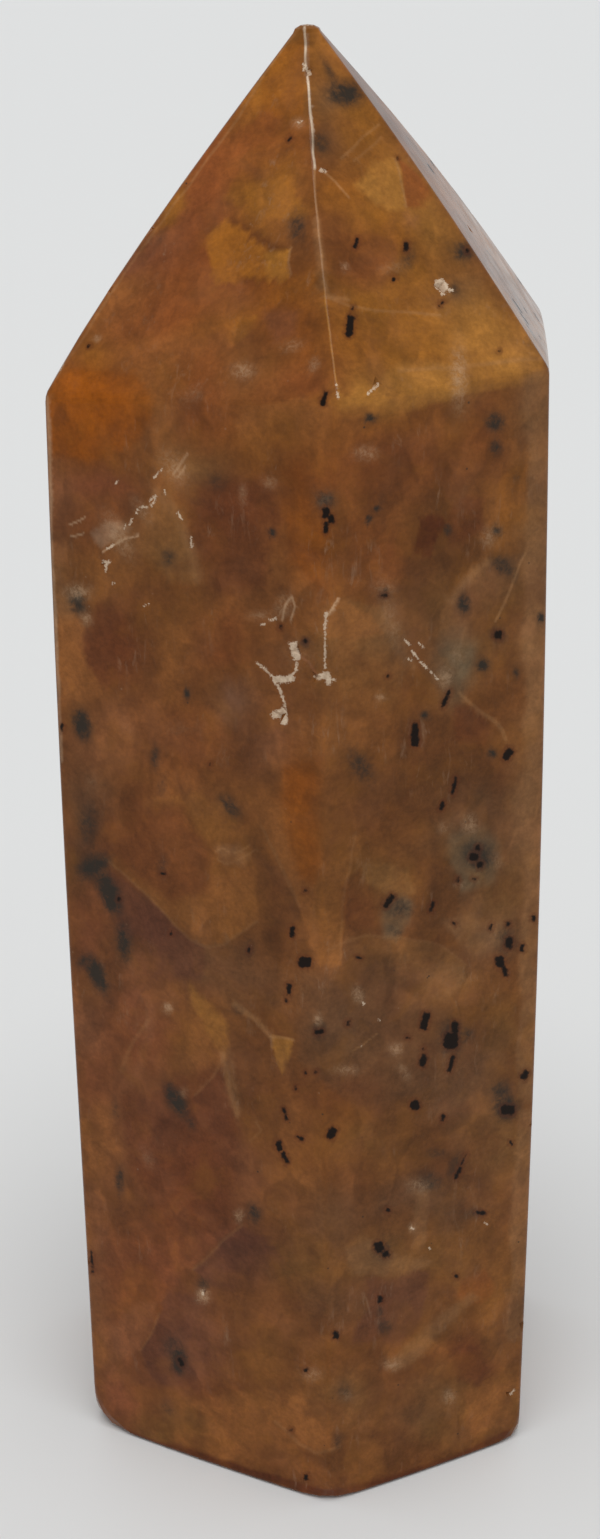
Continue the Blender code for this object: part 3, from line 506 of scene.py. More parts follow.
# Thin lines: healed cracks and cleavage traces, a painted highlight along the rounded front ridge, all pale,
# and painted shade as a dark rim along the foot
LINES = [Line(*row) for row in (
    (((298, 28), (244, 108), (190, 184), (158, 224), (100, 312), (56, 380)), 1.6, "peach", 0.25),
    (((47, 398), (50, 480), (53, 560), (58, 660), (62, 760)), 2.4, "cream", 0.4),
    (((104, 552), (122, 543), (139, 538)), 1.2, "cream", 0.6),
    (((70, 524), (85, 517)), 1.1, "cream", 0.6),
    (((72, 536), (84, 533)), 1.1, "cream", 0.6),
    (((172, 475), (179, 464), (187, 454)), 1.6, "cream", 0.3),
    (((176, 478), (184, 466)), 1.2, "cream", 0.3),
    (((156, 492), (166, 497), (180, 518), (192, 546), (197, 576)), 6.0, "sand", 0.45),
    (((385, 608), (392, 632), (397, 652), (412, 666)), 6.0, "sand", 0.4),
    (((214, 853), (222, 848), (231, 853), (240, 851), (248, 846)), 1.1, "peach", 0.3),
    (((216, 861), (226, 866), (237, 862), (246, 855), (254, 850)), 1.1, "peach", 0.28),
    (((148, 1018), (137, 1034), (127, 1051), (121, 1070)), 2.6, "peach", 0.16),
    (((283, 618), (284, 604), (290, 597), (294, 606), (291, 618)), 1.2, "cream", 0.5),
    (((300, 655), (309, 662), (318, 676)), 1.6, "rose", 0.6),
    (((336, 598), (327, 614)), 1.3, "cream", 0.7),
    (((460, 692), (478, 708), (497, 724), (503, 731), (506, 740)), 2.4, "peach", 0.28),
    # Painted highlight: a pale line along the rounded front ridge, brightest near the tip, in these four runs
    (((304, 27), (307, 73), (311, 138), (314, 170)), 1.4, "white", 0.9),
    (((314, 170), (316, 192), (320, 239), (325, 283)), 1.3, "peach", 0.6),
    (((317, 222), (320, 250), (325, 288)), 5.0, "peach", 0.3),
    (((325, 283), (329, 330), (334, 367), (338, 399)), 1.1, "honey", 0.8),
    (((325, 283), (330, 298), (349, 300)), 2.4, "peach", 0.35),
    (((323, 172), (336, 182), (349, 198)), 1.4, "peach", 0.4),
    (((340, 158), (362, 138), (378, 126)), 1.6, "peach", 0.3),
    (((352, 160), (372, 146), (380, 138)), 1.6, "peach", 0.25),
    (((326, 298), (350, 306), (384, 310), (440, 315)), 1.8, "peach", 0.3),
    (((526, 554), (511, 588), (496, 620)), 1.5, "peach", 0.35),
    (((235, 1004), (254, 1020), (272, 1040)), 3.4, "peach", 0.35),
    (((270, 1038), (294, 1041)), 1.4, "peach", 0.5),
    (((222, 1056), (228, 1080), (238, 1114)), 3.0, "peach", 0.2),
    (((196, 1094), (214, 1078), (225, 1056)), 1.6, "peach", 0.16),
    (((355, 1049), (362, 1046), (378, 1033)), 0.9, "peach", 0.32),
    (((250, 1140), (262, 1130), (256, 1122)), 1.4, "peach", 0.12),
    (((193, 1270), (216, 1248), (242, 1223)), 1.6, "peach", 0.14),
    (((139, 1350), (150, 1336), (158, 1312)), 1.6, "peach", 0.14),
    (((105, 858), (150, 897), (190, 942), (206, 949), (226, 946), (256, 922)), 1.8, "peach", 0.16),
    (((260, 826), (282, 872), (300, 908)), 1.8, "peach", 0.14),
    (((356, 832), (350, 870), (343, 905), (340, 960)), 1.6, "peach", 0.12),
    (((327, 951), (366, 936), (404, 938), (440, 944), (465, 964)), 1.6, "peach", 0.12),
    (((275, 1423), (300, 1444), (316, 1453), (340, 1446)), 1.8, "peach", 0.2),
    (((400, 372), (470, 366), (545, 360)), 2.4, "peach", 0.25),
    (((291, 247), (289, 262), (292, 273)), 1.4, "peach", 0.5),
    (((396, 160), (408, 206)), 1.4, "peach", 0.4),
    # Painted shade: a dark rim along the foot's rounded lower edge, which faces down
    (((120, 1430), (150, 1441), (201, 1456), (259, 1475), (297, 1488), (326, 1493), (350, 1491),
      (400, 1477), (432, 1467), (490, 1443), (508, 1434)), 5.0, "garnet", 0.9),
)]

# Crisp white marks, where the surface is bruised and pitted, and a painted highlight on the tip's worn top:
# runs of points and their width
SCARS_AND_TIP_HIGHLIGHT = (
    (((257, 663), (262, 667)), 2.0), (((264, 668), (269, 673), (275, 681)), 2.0),
    (((275, 681), (281, 692), (285, 706)), 2.8), (((275, 715), (283, 712), (284, 721)), 8.0),
    (((276, 679), (284, 680), (291, 678)), 7.0), (((291, 678), (296, 670), (297, 663)), 2.4),
    (((293, 646), (297, 657)), 8.0), (((290, 644), (296, 643)), 3.0), (((326, 613), (325, 629)), 2.8),
    (((325, 629), (325, 668)), 1.5), (((319, 677), (327, 674), (329, 682)), 6.0),
    (((314, 676), (335, 680)), 1.6), (((103, 562), (109, 562)), 3.0), (((106, 564), (106, 571)), 2.6),
    (((150, 500), (156, 496), (152, 505)), 2.6), (((138, 510), (136, 513)), 1.8),
    (((132, 519), (130, 524)), 1.8), (((126, 524), (124, 529)), 1.2), (((141, 507), (148, 507)), 1.6),
    (((154, 478), (157, 474)), 1.6), (((160, 472), (162, 469)), 1.6), (((178, 512), (181, 519)), 2.4),
    (((191, 538), (192, 547)), 2.0), (((164, 490), (166, 495)), 1.8), (((107, 549), (113, 545)), 1.6),
    (((115, 484), (118, 481)), 1.4), (((112, 584), (114, 583)), 1.2), (((144, 606), (149, 604)), 0.9),
    (((270, 620), (276, 618)), 2.0), (((262, 625), (265, 624)), 1.4), (((405, 640), (410, 645)), 1.4),
    (((419, 643), (424, 648)), 1.4), (((407, 658), (412, 661)), 1.4), (((412, 651), (418, 659)), 1.6),
    (((420, 662), (426, 667)), 2.6), (((427, 668), (438, 679)), 1.4), (((440, 284), (443, 287)), 11.0),
    (((449, 290), (452, 290)), 3.0), (((441, 294), (444, 294)), 2.4), (((368, 394), (376, 386)), 2.0),
    (((375, 388), (378, 384)), 2.4), (((305, 69), (309, 73)), 4.4), (((303, 64), (306, 66)), 2.0),
    # The run across the tip, from (301, 24) to (312, 24), is a painted highlight, not a scar
    (((321, 170), (325, 171)), 3.4), (((301, 24), (312, 24)), 2.2), (((298, 122), (301, 121)), 1.6),
    (((511, 1394), (514, 1390)), 1.8), (((429, 1248), (430, 1249)), 1.6), (((485, 1223), (487, 1224)), 1.2),
    (((203, 1292), (203, 1294)), 3.0), (((363, 1003), (364, 1004)), 2.4), (((412, 1228), (413, 1229)), 1.8),
    (((361, 1045), (362, 1046)), 1.4), (((379, 1020), (380, 1021)), 1.4), (((337, 392), (338, 398)), 2.2),
    (((336, 384), (337, 387)), 1.8),
)

# Black mineral flecks at the surface: place, length, width, and lean to the right in degrees
FLECKS = [Fleck(*row) for row in (
    (350, 326, 22, 8, 8), (353, 308, 4, 2, 30), (356, 243, 12, 4, 22), (406, 247, 10, 5, 8),
    (394, 279, 5, 4, 25), (441, 304, 6, 2, 50), (290, 139, 6, 2, 50), (397, 158, 3, 2, 0),
    (89, 346, 4, 3, 10), (324, 399, 16, 5, 18), (499, 351, 2, 2, 0), (467, 250, 5, 4, 0),
    (326, 513, 11, 8, 0), (331, 519, 9, 7, 0), (326, 527, 12, 5, 5), (384, 595, 3, 7, 10),
    (498, 635, 9, 9, 5), (388, 676, 4, 3, 0), (280, 627, 5, 3, 20), (305, 641, 4, 4, 30),
    (446, 699, 20, 4, 26), (415, 735, 24, 8, 0), (508, 754, 13, 8, 30), (454, 786, 19, 4, 14),
    (442, 806, 9, 4, 20), (62, 728, 9, 3, 0), (210, 764, 4, 2, 15), (163, 874, 3, 5, 0),
    (478, 848, 6, 5, 30), (474, 857, 8, 9, 20), (480, 865, 7, 6, -10), (458, 880, 7, 3, 0),
    (474, 879, 2, 4, 0), (389, 901, 16, 6, 38), (432, 907, 11, 4, 16), (305, 891, 3, 4, 0),
    (454, 924, 4, 2, -30), (491, 927, 7, 3, 20), (508, 924, 5, 4, -40), (509, 943, 12, 8, 8),
    (522, 948, 8, 4, 5), (534, 918, 6, 5, 10), (500, 962, 12, 9, -10), (505, 971, 12, 5, -15),
    (292, 932, 11, 6, 0), (305, 962, 11, 13, 0), (289, 989, 12, 5, 4), (286, 1001, 4, 2, 10),
    (359, 958, 2, 6, 10), (249, 950, 7, 2, 10), (171, 933, 5, 2, 20), (348, 1023, 5, 4, 0),
    (319, 1032, 5, 9, 0), (425, 1021, 18, 8, 14), (451, 1041, 17, 15, 6), (455, 1027, 12, 7, 0),
    (423, 1049, 3, 3, 0), (423, 1061, 13, 7, 14), (451, 1064, 17, 4, 16), (525, 1075, 11, 6, 38),
    (296, 1088, 4, 2, 0), (306, 1073, 3, 2, 0), (316, 1072, 3, 3, 0), (415, 1105, 10, 10, 0),
    (443, 1118, 7, 4, 18), (508, 1110, 10, 14, 0), (285, 1114, 13, 3, -20), (300, 1138, 3, 7, 25),
    (332, 1133, 13, 8, 22), (279, 1146, 11, 6, -15), (285, 1158, 13, 5, -26), (464, 1159, 14, 2, 26),
    (458, 1173, 13, 4, 24), (481, 1213, 4, 10, 4), (511, 1143, 5, 3, -20), (379, 1247, 11, 10, -20),
    (386, 1254, 6, 8, -20), (380, 1299, 8, 5, 0), (336, 1335, 8, 6, 0), (306, 1370, 4, 4, 20),
    (306, 1477, 6, 5, 0), (291, 1430, 3, 3, 20), (456, 1276, 4, 3, -20), (388, 1210, 4, 4, 0),
    (92, 1262, 22, 2, -4), (408, 1038, 2, 4, 0), (119, 899, 4, 3, 0), (181, 1362, 9, 5, -20),
)]


def photo_axes():
    """The right, up and forward directions of the photo's camera."""
    level = Vector((math.sin(CAMERA_YAW), math.cos(CAMERA_YAW), 0))
    forward = level * math.cos(CAMERA_TILT) - Vector((0, 0, math.sin(CAMERA_TILT)))
    right = forward.cross((0, 0, 1)).normalized()
    up = right.cross(forward)
    cosine, sine = math.cos(CAMERA_ROLL), math.sin(CAMERA_ROLL)
    return right * cosine + up * sine, up * cosine - right * sine, forward


class Sight:
    """The photo's camera turned about the stone's upright axis, with the marks that are placed through it."""

    def __init__(self, turn, marks):
        around = Matrix.Rotation(turn, 3, "Z")
        self.at = np.array(around @ CAMERA_AT)
        self.axes = np.array([around @ axis for axis in photo_axes()])
        self.marks = marks

    def pixels(self, points):
        """Where points fall in the picture."""
        right, up, ahead = self.axes @ (points - self.at).T
        across = PHOTO_WIDTH / 2 + FOCAL_PIXELS * right / ahead
        down = PHOTO_HEIGHT / 2 - FOCAL_PIXELS * up / ahead
        return np.stack([across, down], axis=1)

    def facing(self, points, normals):
        """How squarely the surface looks at this camera, from -1 to 1."""
        toward = self.at - points
        toward /= np.linalg.norm(toward, axis=1, keepdims=True)
        return (toward * normals).sum(axis=1)


class Places:
    """Pixels sorted downwards, so that each mark only looks at those near it."""

    def __init__(self, pixels):
        self.order = np.argsort(pixels[:, 1])
        self.pixels = pixels[self.order]

    def near(self, corners, reach):
        """The numbers and the pixels of the places that are within reach of a box round some corners."""
        low = np.min(corners, axis=0) - reach
        high = np.max(corners, axis=0) + reach
        first, last = np.searchsorted(self.pixels[:, 1], (low[1], high[1]))
        stretch = self.pixels[first:last]
        keep = (stretch[:, 0] > low[0]) & (stretch[:, 0] < high[0])
        return self.order[first:last][keep], stretch[keep]


def smooth_step(value):
    value = np.clip(value, 0, 1)
    return value * value * (3 - 2 * value)


def line_distance(pixels, points):
    """Distance in pixels from a run of straight stretches."""
    nearest = np.full(len(pixels), np.inf)
    for start, end in zip(points[:-1], points[1:]):
        start = np.array(start, float)
        step = np.array(end, float) - start
        share = np.clip((pixels - start) @ step / max(step @ step, 1e-9), 0, 1)
        gap = np.linalg.norm(pixels - start - share[:, None] * step, axis=1)
        nearest = np.minimum(nearest, gap)
    return nearest


def outline_distance(pixels, corners):
    """Distance in pixels from a closed outline, less than zero inside it."""
    inside = np.zeros(len(pixels), bool)
    across, down = pixels.T
    for (ax, ay), (bx, by) in zip(corners, corners[1:] + corners[:1]):
        if ay != by:
            crosses = (ay > down) != (by > down)
            inside ^= crosses & (across < (bx - ax) * (down - ay) / (by - ay) + ax)
    gap = line_distance(pixels, corners + corners[:1])
    return np.where(inside, -gap, gap)


def leaning(pixels, mark):
    """How far pixels are from a mark's middle along it and beside it. Its top leans to the right."""
    lean = math.radians(mark.lean)
    across, down = (pixels - (mark.x, mark.y)).T
    along = across * math.sin(lean) - down * math.cos(lean)
    beside = across * math.cos(lean) + down * math.sin(lean)
    return along, beside


def fleck_distance(pixels, fleck):
    """Distance in pixels from a rounded bar, less than zero inside it."""
    along, beside = leaning(pixels, fleck)
    corner = min(fleck.length, fleck.width) * FLECK_ROUNDNESS / 2
    out_along = np.abs(along) - fleck.length / 2 + corner
    out_beside = np.abs(beside) - fleck.width / 2 + corner
    outside = np.hypot(np.maximum(out_along, 0), np.maximum(out_beside, 0))
    return outside + np.minimum(np.maximum(out_along, out_beside), 0) - corner


def cloud_weight(pixels, cloud):
    """How much of a cloud's colour there is, fading from its middle outwards."""
    along, beside = leaning(pixels, cloud)
    reach = (beside / cloud.across) ** 2 + (along / cloud.down) ** 2
    return cloud.strength * np.exp(-reach * CLOUD_FALL)


def patch_shade(pixels, patch):
    """A block's strength, which dies away towards the side that its fade points at."""
    if patch.fade is None:
        return patch.strength
    heading = np.array([math.cos(math.radians(patch.fade)), math.sin(math.radians(patch.fade))])
    reaches = np.array(patch.corners) @ heading
    share = (pixels @ heading - reaches.min()) / np.ptp(reaches)
    return patch.strength * smooth_step(FADE_END - share)


def sight_colour(marks, pixels, wander):
    """The colour through one sight: soft clouds, stains round blotches, cleavage blocks, then thin lines."""
    colour = np.tile(np.array(PALETTE["body"]), (len(pixels), 1))

    def lay(which, weight, name):
        colour[which] += weight[:, None] * (np.array(PALETTE[name]) - colour[which])

    def lay_clouds(clouds, drift):
        places = Places(pixels + wander * drift)
        for cloud in clouds:
            which, near = places.near([(cloud.x, cloud.y)], CLOUD_FADE * max(cloud.across, cloud.down))
            lay(which, cloud_weight(near, cloud), cloud.colour)

    lay_clouds(marks.clouds, CLOUD_WANDER)
    lay_clouds([mark._replace(strength=STAIN * mark.strength) for mark in marks.smudges], BLOTCH_WANDER)
    places = Places(pixels + wander * PATCH_WANDER)
    for patch in marks.patches:
        which, near = places.near(patch.corners, patch.soft)
        gap = outline_distance(near, patch.corners)
        lay(which, patch_shade(near, patch) * smooth_step(0.5 - gap / patch.soft), patch.colour)
    places = Places(pixels + wander * LINE_WANDER)
    for line in marks.lines:
        which, near = places.near(line.points, 2 * line.width)
        gap = line_distance(near, line.points)
        lay(which, line.strength * smooth_step(LINE_SPREAD - gap / line.width), line.colour)
    return colour


def strongest(blotches, pixels):
    """The strongest of a set of blotches at each place."""
    places = Places(pixels)
    most = np.zeros(len(pixels))
    for blotch in blotches:
        which, near = places.near([(blotch.x, blotch.y)], CLOUD_FADE * max(blotch.across, blotch.down))
        most[which] = np.maximum(most[which], cloud_weight(near, blotch))
    return most


def mark_gaps(marks, pixels):
    """Distances in pixels from the nearest mark of each kind. A border is the outline of a block."""
    places = Places(pixels)
    gaps = {kind: np.full(len(pixels), MARK_REACH) for kind in FINENESS}

    def measure(kind, corners, distance, reach=MARK_REACH):
        which, near = places.near(corners, reach)
        if len(which):
            gaps[kind][which] = np.minimum(gaps[kind][which], distance(near))

    for mark in marks.flecks:
        reach = MARK_REACH + mark.length
        measure("fleck", [(mark.x, mark.y)], lambda near: fleck_distance(near, mark), reach)
    for points, width in marks.scars:
        measure("scar", points, lambda near: line_distance(near, points) - width / 2, MARK_REACH + width)
    for patch in marks.patches:
        measure("border", patch.corners, lambda near: np.abs(outline_distance(near, patch.corners)))
    for line in marks.lines:
        measure("line", line.points, lambda near: line_distance(near, line.points))
    for blotch in marks.smudges + marks.veils:
        radius = BLOTCH_REACH * max(blotch.across, blotch.down)
        middle = ((blotch.x, blotch.y),) * 2
        measure("blotch", middle, lambda near: np.maximum(line_distance(near, middle) - radius, 0),
                radius + MARK_REACH)
    return gaps


def chance_marks(seed):
    """Marks for a side that the photo doesn't show: the same kinds in like amounts, in other places."""
    chance = np.random.default_rng(seed)

    def spot():
        return chance.uniform(*SPREAD_ACROSS), chance.uniform(*SPREAD_DOWN)

    def pick(names):
        return names[chance.integers(len(names))]

    def blob(kind, names):
        across = chance.uniform(*kind.size)
        down = across * chance.uniform(*BLOB_TALLNESS)
        return Cloud(*spot(), across, down, chance.uniform(*BLOB_LEAN), pick(names),
                     chance.uniform(*kind.strength))

    def block(kind):
        x, y = spot()
        turns = np.sort(chance.uniform(0, math.tau, BLOCK_CORNERS))
        size = chance.uniform(*kind.size)
        corners = tuple((x + size * math.cos(turn), y + BLOCK_TALLNESS * size * math.sin(turn))
                        for turn in turns)
        return Patch(corners, pick(BLOCK_COLOURS), chance.uniform(*kind.strength),
                     chance.uniform(*BLOCK_SOFTNESS))

    def run(steps, stride):
        points = [spot()]
        heading = chance.uniform(0, math.tau)
        for _ in range(steps):
            heading += chance.uniform(-STEP_BEND, STEP_BEND)
            x, y = points[-1]
            length = chance.uniform(*STEP_LENGTHS) * stride
            points.append((x + length * math.cos(heading), y + length * math.sin(heading)))
        return tuple(points)

    def line(kind):
        return Line(run(LINE_STEPS, LINE_STRIDE), chance.uniform(*kind.size), pick(LINE_COLOURS),
                    chance.uniform(*kind.strength))

    def scar(kind):
        return run(SCAR_STEPS, SCAR_STRIDE), chance.uniform(*kind.size)

    def fleck(kind):
        width = chance.uniform(*kind.size)
        return Fleck(*spot(), width * chance.uniform(*FLECK_SLENDERNESS), width,
                     chance.normal(FLECK_LEAN, FLECK_LEAN_SPREAD))

    def several(draw, kind, *names):
        return [draw(kind, *names) for _ in range(kind.count)]

    clouds = several(blob, HIDDEN.clouds, CLOUD_COLOURS)
    clouds = [cloud._replace(colour=pick(POINT_COLOURS)) if cloud.y < SHOULDER else cloud for cloud in clouds]
    smudges = several(blob, HIDDEN.smudges, SMUDGE_COLOURS)
    veils = several(blob, HIDDEN.veils, VEIL_COLOURS)
    lines = several(line, HIDDEN.lines)
    scars = several(scar, HIDDEN.scars)
    flecks = several(fleck, HIDDEN.flecks)
    patches = several(block, HIDDEN.patches)
    return Marks(clouds, patches, smudges, veils, lines, scars, flecks)


def unit(vectors):
    return vectors / np.maximum(np.linalg.norm(vectors, axis=1, keepdims=True), 1e-12)


def vertex_normals(points, triangles):
    """Normals weighted by area, so that a broad face keeps its own beside a narrow rounded edge."""
    a, b, c = (points[triangles[:, i]] for i in range(3))
    areas = np.cross(b - a, c - a)
    normals = np.zeros_like(points)
    for i in range(3):
        np.add.at(normals, triangles[:, i], areas)
    return unit(normals)


def cut_triangles(triangles, middles):
    """Triangles cut at new points on their sides: middles has their numbers, or -1 for an uncut side."""
    cuts = (middles >= 0).sum(axis=1)
    made = [triangles[cuts == 0]]

    def add(corners, chosen):
        made.append(np.stack(corners, axis=1)[chosen])

    for turn in range(3):
        a, b, c = (triangles[:, (turn + i) % 3] for i in range(3))
        ab, bc, ca = (middles[:, (turn + i) % 3] for i in range(3))
        for corners in ((a, ab, c), (ab, b, c)):
            add(corners, (cuts == 1) & (ab >= 0))
        for corners in ((ab, b, bc), (a, ab, bc), (a, bc, c)):
            add(corners, (cuts == 2) & (ca < 0))
    a, b, c = triangles.T
    ab, bc, ca = middles.T
    for corners in ((a, ab, ca), (ab, b, bc), (ca, bc, c), (ab, bc, ca)):
        add(corners, cuts == 3)
    return np.concatenate(made)


def split_edges(points, normals, triangles, wanted):
    """One round that halves every edge longer than wanted, along the curve that its end normals give."""
    sides = np.concatenate([triangles[:, [0, 1]], triangles[:, [1, 2]], triangles[:, [2, 0]]])
    keys = sides.min(axis=1) * len(points) + sides.max(axis=1)
    keys, which = np.unique(keys, return_inverse=True)
    edges = np.stack([keys // len(points), keys % len(points)], axis=1)
    starts, ends = points[edges[:, 0]], points[edges[:, 1]]
    start_normals, end_normals = normals[edges[:, 0]], normals[edges[:, 1]]
    middles = (starts + ends) / 2
    middle_normals = unit(start_normals + end_normals)
    lengths = np.linalg.norm(ends - starts, axis=1)
    chosen = lengths > SHORTEST_EDGE
    chosen[chosen] = lengths[chosen] > wanted(middles[chosen], middle_normals[chosen])
    bend = ((middles - starts) * start_normals).sum(1)[:, None] * start_normals
    bend += ((middles - ends) * end_normals).sum(1)[:, None] * end_normals
    smooth = ((start_normals * end_normals).sum(1) > SMOOTH_COSINE)[:, None]
    middles = middles - np.where(smooth, EDGE_BULGE, 0.0) * bend
    numbers = np.full(len(edges), -1)
    numbers[chosen] = len(points) + np.arange(chosen.sum())
    points = np.concatenate([points, middles[chosen]])
    normals = np.concatenate([normals, middle_normals[chosen]])
    triangles = cut_triangles(triangles, numbers[which.reshape(3, -1).T])
    return points, normals, triangles, chosen.any()


def best_sight(points, normals):
    """Which sight looks most squarely at each place, and how squarely every one of them does."""
    facing = np.stack([sight.facing(points, normals) for sight in SIGHTS])
    return facing.argmax(axis=0), facing


def mesh_size(points, normals):
    """The longest edge wanted at each place: short at flecks and scars, longer on plain stone."""
    best, _ = best_sight(points, normals)
    size = np.full(len(points), PLAIN_EDGE)
    for index, sight in enumerate(SIGHTS):
        mine = best == index
        if mine.any():
            gaps = mark_gaps(sight.marks, sight.pixels(points[mine]))
            wanted = [fine.edge + fine.growth * np.maximum(gaps[kind] - fine.margin, 0)
                      for kind, fine in FINENESS.items()]
            coarseness = HIDDEN_COARSENESS if index else 1.0
            size[mine] = np.minimum(PLAIN_EDGE, np.min(wanted, axis=0)) * coarseness
    foot = points[:, 2] < FOOT_HEIGHT
    size[foot] = np.maximum(size[foot], FOOT_EDGE)
    return size


def wander_at(points):
    """A smooth random push in pixels, the same for all sights, so that nothing keeps a ruled outline."""
    noise.seed_set(WANDER_SEED)
    pushes = [noise.noise_vector(Vector(point) / WANDER_SIZE) for point in points]
    finer = [noise.noise_vector(Vector(point) / FINE_WANDER_SIZE + FINE_WANDER_OFFSET) for point in points]
    return np.array(pushes)[:, :2] + FINE_WANDER_SHARE * np.array(finer)[:, :2]


def fine_skin(source):
    """The surface of the CAD solid in millimetres, with its edges halved until they suit the marks there."""
    source.data.calc_loop_triangles()
    triangles = np.array([tuple(face.vertices) for face in source.data.loop_triangles])
    points = np.array([tuple(vertex.co) for vertex in source.data.vertices]) / MM
    normals = vertex_normals(points, triangles)
    for _ in range(MOST_ROUNDS):
        points, normals, triangles, changed = split_edges(points, normals, triangles, mesh_size)
        if not changed:
            break
    return points, triangles


def see_marks(points, normals):
    """Each place's colour, blended from the sights that face it, and the values of four kinds of mark."""
    best, facing = best_sight(points, normals)
    wander = wander_at(points)
    colour = np.zeros((len(points), 3))
    total = np.zeros(len(points))
    values = {name: np.zeros(len(points)) for name in ("fleck", "scar", "smudge", "veil")}
    for index, sight in enumerate(SIGHTS):
        share = np.clip((facing[index] - facing.max(axis=0)) / BLEND_FACING + 1, 0, 1)
        seen = share > 0
        seen_colour = sight_colour(sight.marks, sight.pixels(points[seen]), wander[seen])
        colour[seen] += share[seen, None] * seen_colour
        total[seen] += share[seen]
        mine = best == index
        pixels = sight.pixels(points[mine])
        gaps = mark_gaps(sight.marks, pixels)
        values["fleck"][mine] = gaps["fleck"]
        values["scar"][mine] = gaps["scar"]
        values["smudge"][mine] = strongest(sight.marks.smudges, pixels)
        values["veil"][mine] = strongest(sight.marks.veils, pixels)
    return colour / total[:, None], values


def stone_piece(source):
    """The stone's own skin: the CAD solid with a finer mesh, which carries the marks as attributes."""
    points, triangles = fine_skin(source)
    colour, values = see_marks(points, vertex_normals(points, triangles))
    mesh = bpy.data.meshes.new("stone")
    mesh.from_pydata((points * MM).tolist(), [], triangles.tolist())
    mesh.polygons.foreach_set("use_smooth", [True] * len(mesh.polygons))
    tint = mesh.attributes.new("tint", "FLOAT_COLOR", "POINT")
    tint.data.foreach_set("color", np.concatenate([colour, np.ones((len(points), 1))], 1).ravel())
    for name, numbers in values.items():
        mesh.attributes.new(name, "FLOAT", "POINT").data.foreach_set("value", numbers)
    mesh.set_sharp_from_angle(angle=math.radians(SHARP_DEGREES))
    stone = bpy.data.objects.new("stone", mesh)
    bpy.context.scene.collection.objects.link(stone)
    return stone


class Shader:
    """Short calls for adding and joining the nodes of one material."""

    def __init__(self, name):
        self.material = bpy.data.materials.new(name)
        self.material.use_nodes = True
        self.tree = self.material.node_tree
        self.surface = self.tree.nodes["Principled BSDF"]

    def feed(self, socket, value):
        if isinstance(value, bpy.types.NodeSocket):
            self.tree.links.new(value, socket)
        else:
            socket.default_value = value

    def add(self, kind, inputs, **settings):
        node = self.tree.nodes.new("ShaderNode" + kind)
        for name, value in settings.items():
            setattr(node, name, value)
        for socket, value in inputs.items():
            self.feed(node.inputs[socket], value)
        return node

    def math(self, operation, first, second=0.0):
        return self.add("Math", {0: first, 1: second}, operation=operation).outputs[0]

    def between(self, value, low, high, out_low=0.0, out_high=1.0):
        """A smooth change from one number to another as a value goes from low to high."""
        return self.add("MapRange", {0: value, 1: low, 2: high, 3: out_low, 4: out_high},
                        interpolation_type="SMOOTHSTEP").outputs[0]

    def mix(self, share, first, second, blend="MIX"):
        node = self.add("Mix", {}, data_type="RGBA", blend_type=blend)
        for socket, value in ((0, share), (6, first), (7, second)):
            self.feed(node.inputs[socket], value)
        return node.outputs[2]

    def shade(self, colour, level):
        """A colour made darker or paler by a level, where 1 leaves it as it is."""
        grey = self.add("CombineColor", {0: level, 1: level, 2: level}).outputs[0]
        return self.mix(1.0, colour, grey, "MULTIPLY")

    def attribute(self, name, output):
        return self.add("Attribute", {}, attribute_name=name).outputs[output]

    def stretched(self, where, stretch, turn):
        return self.add("Mapping", {"Vector": where, "Scale": stretch, "Rotation": turn}).outputs[0]

    def noise(self, where, size, detail=3.0, roughness=0.55, distortion=0.0):
        """Noise whose lumps are about this many millimetres across."""
        return self.add("TexNoise", {"Vector": where, "Scale": 1 / (size * MM), "Detail": detail,
                                     "Roughness": roughness, "Distortion": distortion}).outputs[0]

    def vector(self, operation, first, second):
        return self.add("VectorMath", {0: first, 1: second}, operation=operation).outputs[0]


def opaque(name):
    return (*PALETTE[name], 1.0)


def cell_slope(shader, where, size, stretch, turn):
    """Cleavage blocks of a size in millimetres: each shades off across itself in a direction of its own."""
    slanted = shader.stretched(where, stretch, turn)
    inputs = {"Vector": slanted, "Scale": 1 / (size * MM), "Smoothness": FACET_SOFTNESS}
    cell = shader.add("TexVoronoi", inputs, feature="SMOOTH_F1")
    offset = shader.vector("SUBTRACT", slanted, cell.outputs["Position"])
    heading = shader.vector("SUBTRACT", cell.outputs["Color"], (0.5, 0.5, 0.5))
    slope = shader.add("VectorMath", {0: offset, 1: heading}, operation="DOT_PRODUCT").outputs["Value"]
    return shader.math("DIVIDE", slope, size * MM * FACET_CONTRAST)


def add_clouding(shader, where, colour):
    """Soft mottling at three sizes, and patches of a few tints."""
    broad = shader.between(shader.noise(where, BROAD_MOTTLE, 4, 0.6, 0.6), 0.3, 0.7, 0.86, 1.14)
    middle = shader.between(shader.noise(where, MIDDLE_MOTTLE, 5, 0.62, 0.5), 0.25, 0.75, 0.80, 1.21)
    fine = shader.between(shader.noise(where, FINE_MOTTLE, 3, 0.65), 0.25, 0.75, 0.88, 1.12)
    colour = shader.shade(colour, shader.math("MULTIPLY", shader.math("MULTIPLY", broad, middle), fine))
    for size, name, strength in TINT_PATCHES:
        share = shader.between(shader.noise(where, size, 5, 0.6, 0.5), 0.45, 0.75, 0.0, strength)
        colour = shader.mix(share, colour, opaque(name))
    return colour


def add_facets(shader, where, colour):
    """Two sizes of cleavage blocks, lighter on one side, darker on the other, and bent a little by noise."""
    push = shader.add("TexNoise", {"Vector": where, "Scale": 1 / (BEND_SIZE * MM), "Detail": 2.0})
    push = shader.vector("MULTIPLY", push.outputs["Color"], (BEND * MM,) * 3)
    bent = shader.vector("ADD", where, push)
    for size, stretch, turn, strength in FACETS:
        slope = cell_slope(shader, bent, size, stretch, turn)
        place = shader.between(shader.noise(where, 2 * size, 2), 0.42, 0.62, 0.1, 1.0)
        slope = shader.math("MULTIPLY", slope, place)
        colour = shader.shade(colour, shader.between(slope, -1.0, 1.0, 1.0 - strength, 1.0 + strength))
    return colour


